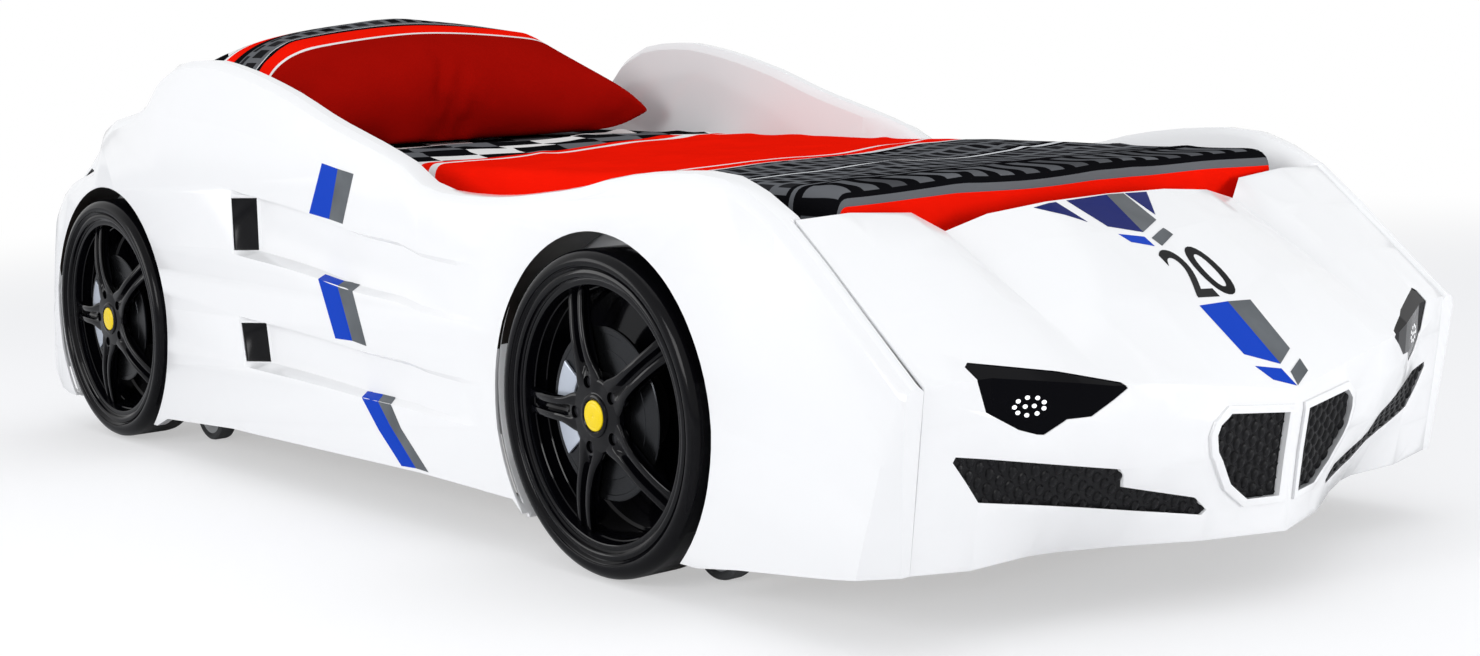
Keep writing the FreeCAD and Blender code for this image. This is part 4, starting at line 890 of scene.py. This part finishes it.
# mattress: a crowned foam block with piping round its top and bottom edges
putDown()
bpy.ops.mesh.primitive_cube_add(size=1)
block = named(bpy.context.object, "mattress_pad")
low, high = Vector(mattress["low"]), Vector(mattress["high"])
inset = mattress["cord"] / 2
for vertex in block.data.vertices:
    vertex.co = Vector(high[axis] - inset if vertex.co[axis] > 0 else low[axis] + inset for axis in range(3))
applied(block, "BEVEL", width=mattress["round"], segments=5, limit_method="ANGLE", angle_limit=0.6)
takeUp(block)
bpy.ops.object.mode_set(mode="EDIT")
for index in range(-8, 10):
    cutAcross((0, index * mattress["cutStep"] + mattress["cutShift"], 0), (0, 1, 0))
for index in range(-3, 4):
    cutAcross((index * mattress["cutStep"], 0, 0), (1, 0, 0))
bpy.ops.object.mode_set(mode="OBJECT")
middleZ = (low.z + high.z) / 2
dimpleFront, dimpleRear = mattress["dimpleEnds"]
for vertex in block.data.vertices:
    spot = vertex.co
    onFace = abs(spot.z - middleZ) > mattress["dimpleOff"] and abs(spot.x) < mattress["dimpleHalf"]
    if onFace and dimpleFront < spot.y < dimpleRear:
        turnX, turnY = spot.x * mattress["dimpleTurn"], spot.y * mattress["dimpleTurn"]
        dip = mattress["dimple"] * (1 + math.cos(turnX) * math.cos(turnY))
        spot.z += dip if spot.z < middleZ else -dip
rope = []
cordInset = Vector((mattress["cordInset"],) * 3)
for edgeZ in (low.z + mattress["round"], high.z - mattress["round"]):
    putDown()
    bpy.ops.mesh.primitive_plane_add(size=1)
    ring = bpy.context.object
    for vertex in ring.data.vertices:
        inner, outer = low + cordInset, high - cordInset
        vertex.co = (inner.x if vertex.co.x < 0 else outer.x, inner.y if vertex.co.y < 0 else outer.y, edgeZ)
    applied(ring, "BEVEL", affect="VERTICES", width=mattress["round"], segments=6, limit_method="NONE")
    opened(ring)
    bpy.ops.mesh.delete(type="ONLY_FACE")
    bpy.ops.object.mode_set(mode="OBJECT")
    bpy.ops.object.convert(target="CURVE")
    bpy.context.object.data.bevel_depth = mattress["cord"]
    bpy.context.object.data.bevel_resolution = 2
    bpy.ops.object.convert(target="MESH")
    rope.append(bpy.context.object)
finished(block, ticking, stands=("mattress",))
finished(fused("mattress_piping", rope), cordGrey, smooth=80)

# cover: one flat sheet whose border turns down over the mattress
def overEdge(flat, halves):
    # where a point of the flat sheet comes to lie: its place on the plan and how far it drops
    inner = [half - cover["round"] for half in halves]
    past = Vector(max(abs(value) - limit, 0.0) for value, limit in zip(flat, inner))
    run = max(past)
    if run <= 0:
        return flat, 0.0
    angle = min(run / cover["round"], math.pi / 2)
    outward = past.normalized() * math.sin(angle) * cover["round"]
    place = [math.copysign(min(abs(value), limit) + out, value)
             for value, limit, out in zip(flat, inner, outward)]
    return place, (1 - math.cos(angle)) * cover["round"] + max(run - turnDown, 0.0)


putDown()
bpy.ops.mesh.primitive_grid_add(size=2, x_subdivisions=int(flatHalf * 2 / cover["step"]),
                                y_subdivisions=int(flatLong * 2 / cover["step"]))
spread = named(bpy.context.object, "cover_sheet")
for vertex in spread.data.vertices:
    flatX, flatY = vertex.co.x * flatHalf, vertex.co.y * flatLong
    (x, y), drop = overEdge((flatX, flatY), (cover["halfWidth"], halfLong))
    spot = Vector((flatX, flatY, 0))
    swell = sum(noise.noise(spot * scale + Vector(shift)) * share for scale, shift, share in cover["swells"])
    foldX, foldY = (flatX * cover[way][0] + flatY * cover[way][1] for way in ("foldAcross", "foldAlong"))
    fold = max(1 - abs(noise.noise(Vector((foldX, foldY, cover["foldPlace"])))) * 2, 0)
    puff = min(max(0.5 + swell + cover["fold"] * fold ** cover["foldSharp"], 0.0), cover["fullest"])
    # the pillow presses the cover flat where it lies
    underPillow = (flatY - (cover["weighedFrom"] - middleY)) / cover["weighedFade"]
    weighed = min(max(underPillow, 0.0), 1.0) if abs(flatX) < cover["weighedHalf"] else 0.0
    rise = cover["puff"] * puff * (1 - weighed) * max(1 - drop / cover["edgeFade"], 0.0)
    ripple = noise.noise(spot * cover["rippleScale"]) * cover["ripple"] if drop > cover["round"] else 0.0
    vertex.co = (x + math.copysign(ripple, x), y + middleY, cover["top"] + rise - drop)
applied(spread, "SOLIDIFY", thickness=cover["thick"], offset=-1)
applied(spread, "SUBSURF", levels=1, render_levels=1)
finished(spread, coverPrint, stands=("bed_cover",), smooth=60)

# pillow: a flat case of two panels, blown up by cloth pressure, then leant against the head
putDown()
bpy.ops.mesh.primitive_grid_add(size=1, x_subdivisions=pillow["cells"][0], y_subdivisions=pillow["cells"][1])
bag = named(bpy.context.object, "pillow_pad")
for vertex in bag.data.vertices:
    # the sides of a sewn case draw in a little between its corners
    u, v = vertex.co.x * 2, vertex.co.y * 2
    vertex.co = (u * pillow["case"][0] / 2 * (1 - pillow["drawnIn"] * (1 - v * v)),
                 v * pillow["case"][1] / 2 * (1 - pillow["drawnIn"] * (1 - u * u)), 0)
applied(bag, "SOLIDIFY", thickness=pillow["panels"], offset=0)
takeUp(bag)
cloth = bag.modifiers.new("Cloth", "CLOTH")
for setting, value in pillow["cloth"].items():
    setattr(cloth.settings, setting, value)
cloth.settings.effector_weights.gravity = 0
cloth.point_cache.frame_start = 1
cloth.point_cache.frame_end = pillow["frames"]
for moment in range(1, pillow["frames"] + 1):
    bpy.context.scene.frame_set(moment)
bpy.ops.object.modifier_apply(modifier=cloth.name)
bpy.context.scene.frame_set(1)
spots = [vertex.co for vertex in bag.data.vertices]
extent = [max(spot[axis] for spot in spots) - min(spot[axis] for spot in spots) for axis in range(3)]
print("pillow blown up to", [round(value, 3) for value in extent])
tilt = Matrix.Rotation(math.radians(pillow["tilt"]), 3, "X")
for vertex in bag.data.vertices:
    spot = Vector(vertex.co[axis] * pillow["size"][axis] / extent[axis] for axis in range(3))
    ends = (abs(spot.x) * 2 / pillow["size"][0]) ** pillow["droopSharp"]
    upper = min(max(spot.y * pillow["droopRise"] / pillow["size"][1], 0.0), 1.0)
    spot.z -= pillow["droop"] * (ends * upper)     # the upper corners hang
    vertex.co = tilt @ spot
rearMost = max(vertex.co.y for vertex in bag.data.vertices)
lowest = min(vertex.co.z for vertex in bag.data.vertices)
for vertex in bag.data.vertices:
    vertex.co.y += pillow["rear"] - rearMost
    vertex.co.z += pillow["bed"] - lowest - pillow["sink"]
    sunk = pillow["bed"] + pillow["settle"] - vertex.co.z
    if sunk > 0:    # it lies flat where it rests on the cover
        vertex.co.z = pillow["bed"] + pillow["settle"] * math.exp(-sunk / pillow["settle"])
applied(bag, "SUBSURF", levels=1, render_levels=1)
finished(bag, pillowPrint, stands=("pillow",), smooth=80)
print("pillow top", round(max(vertex.co.z for vertex in bag.data.vertices), 3))
print("bedding is ready")
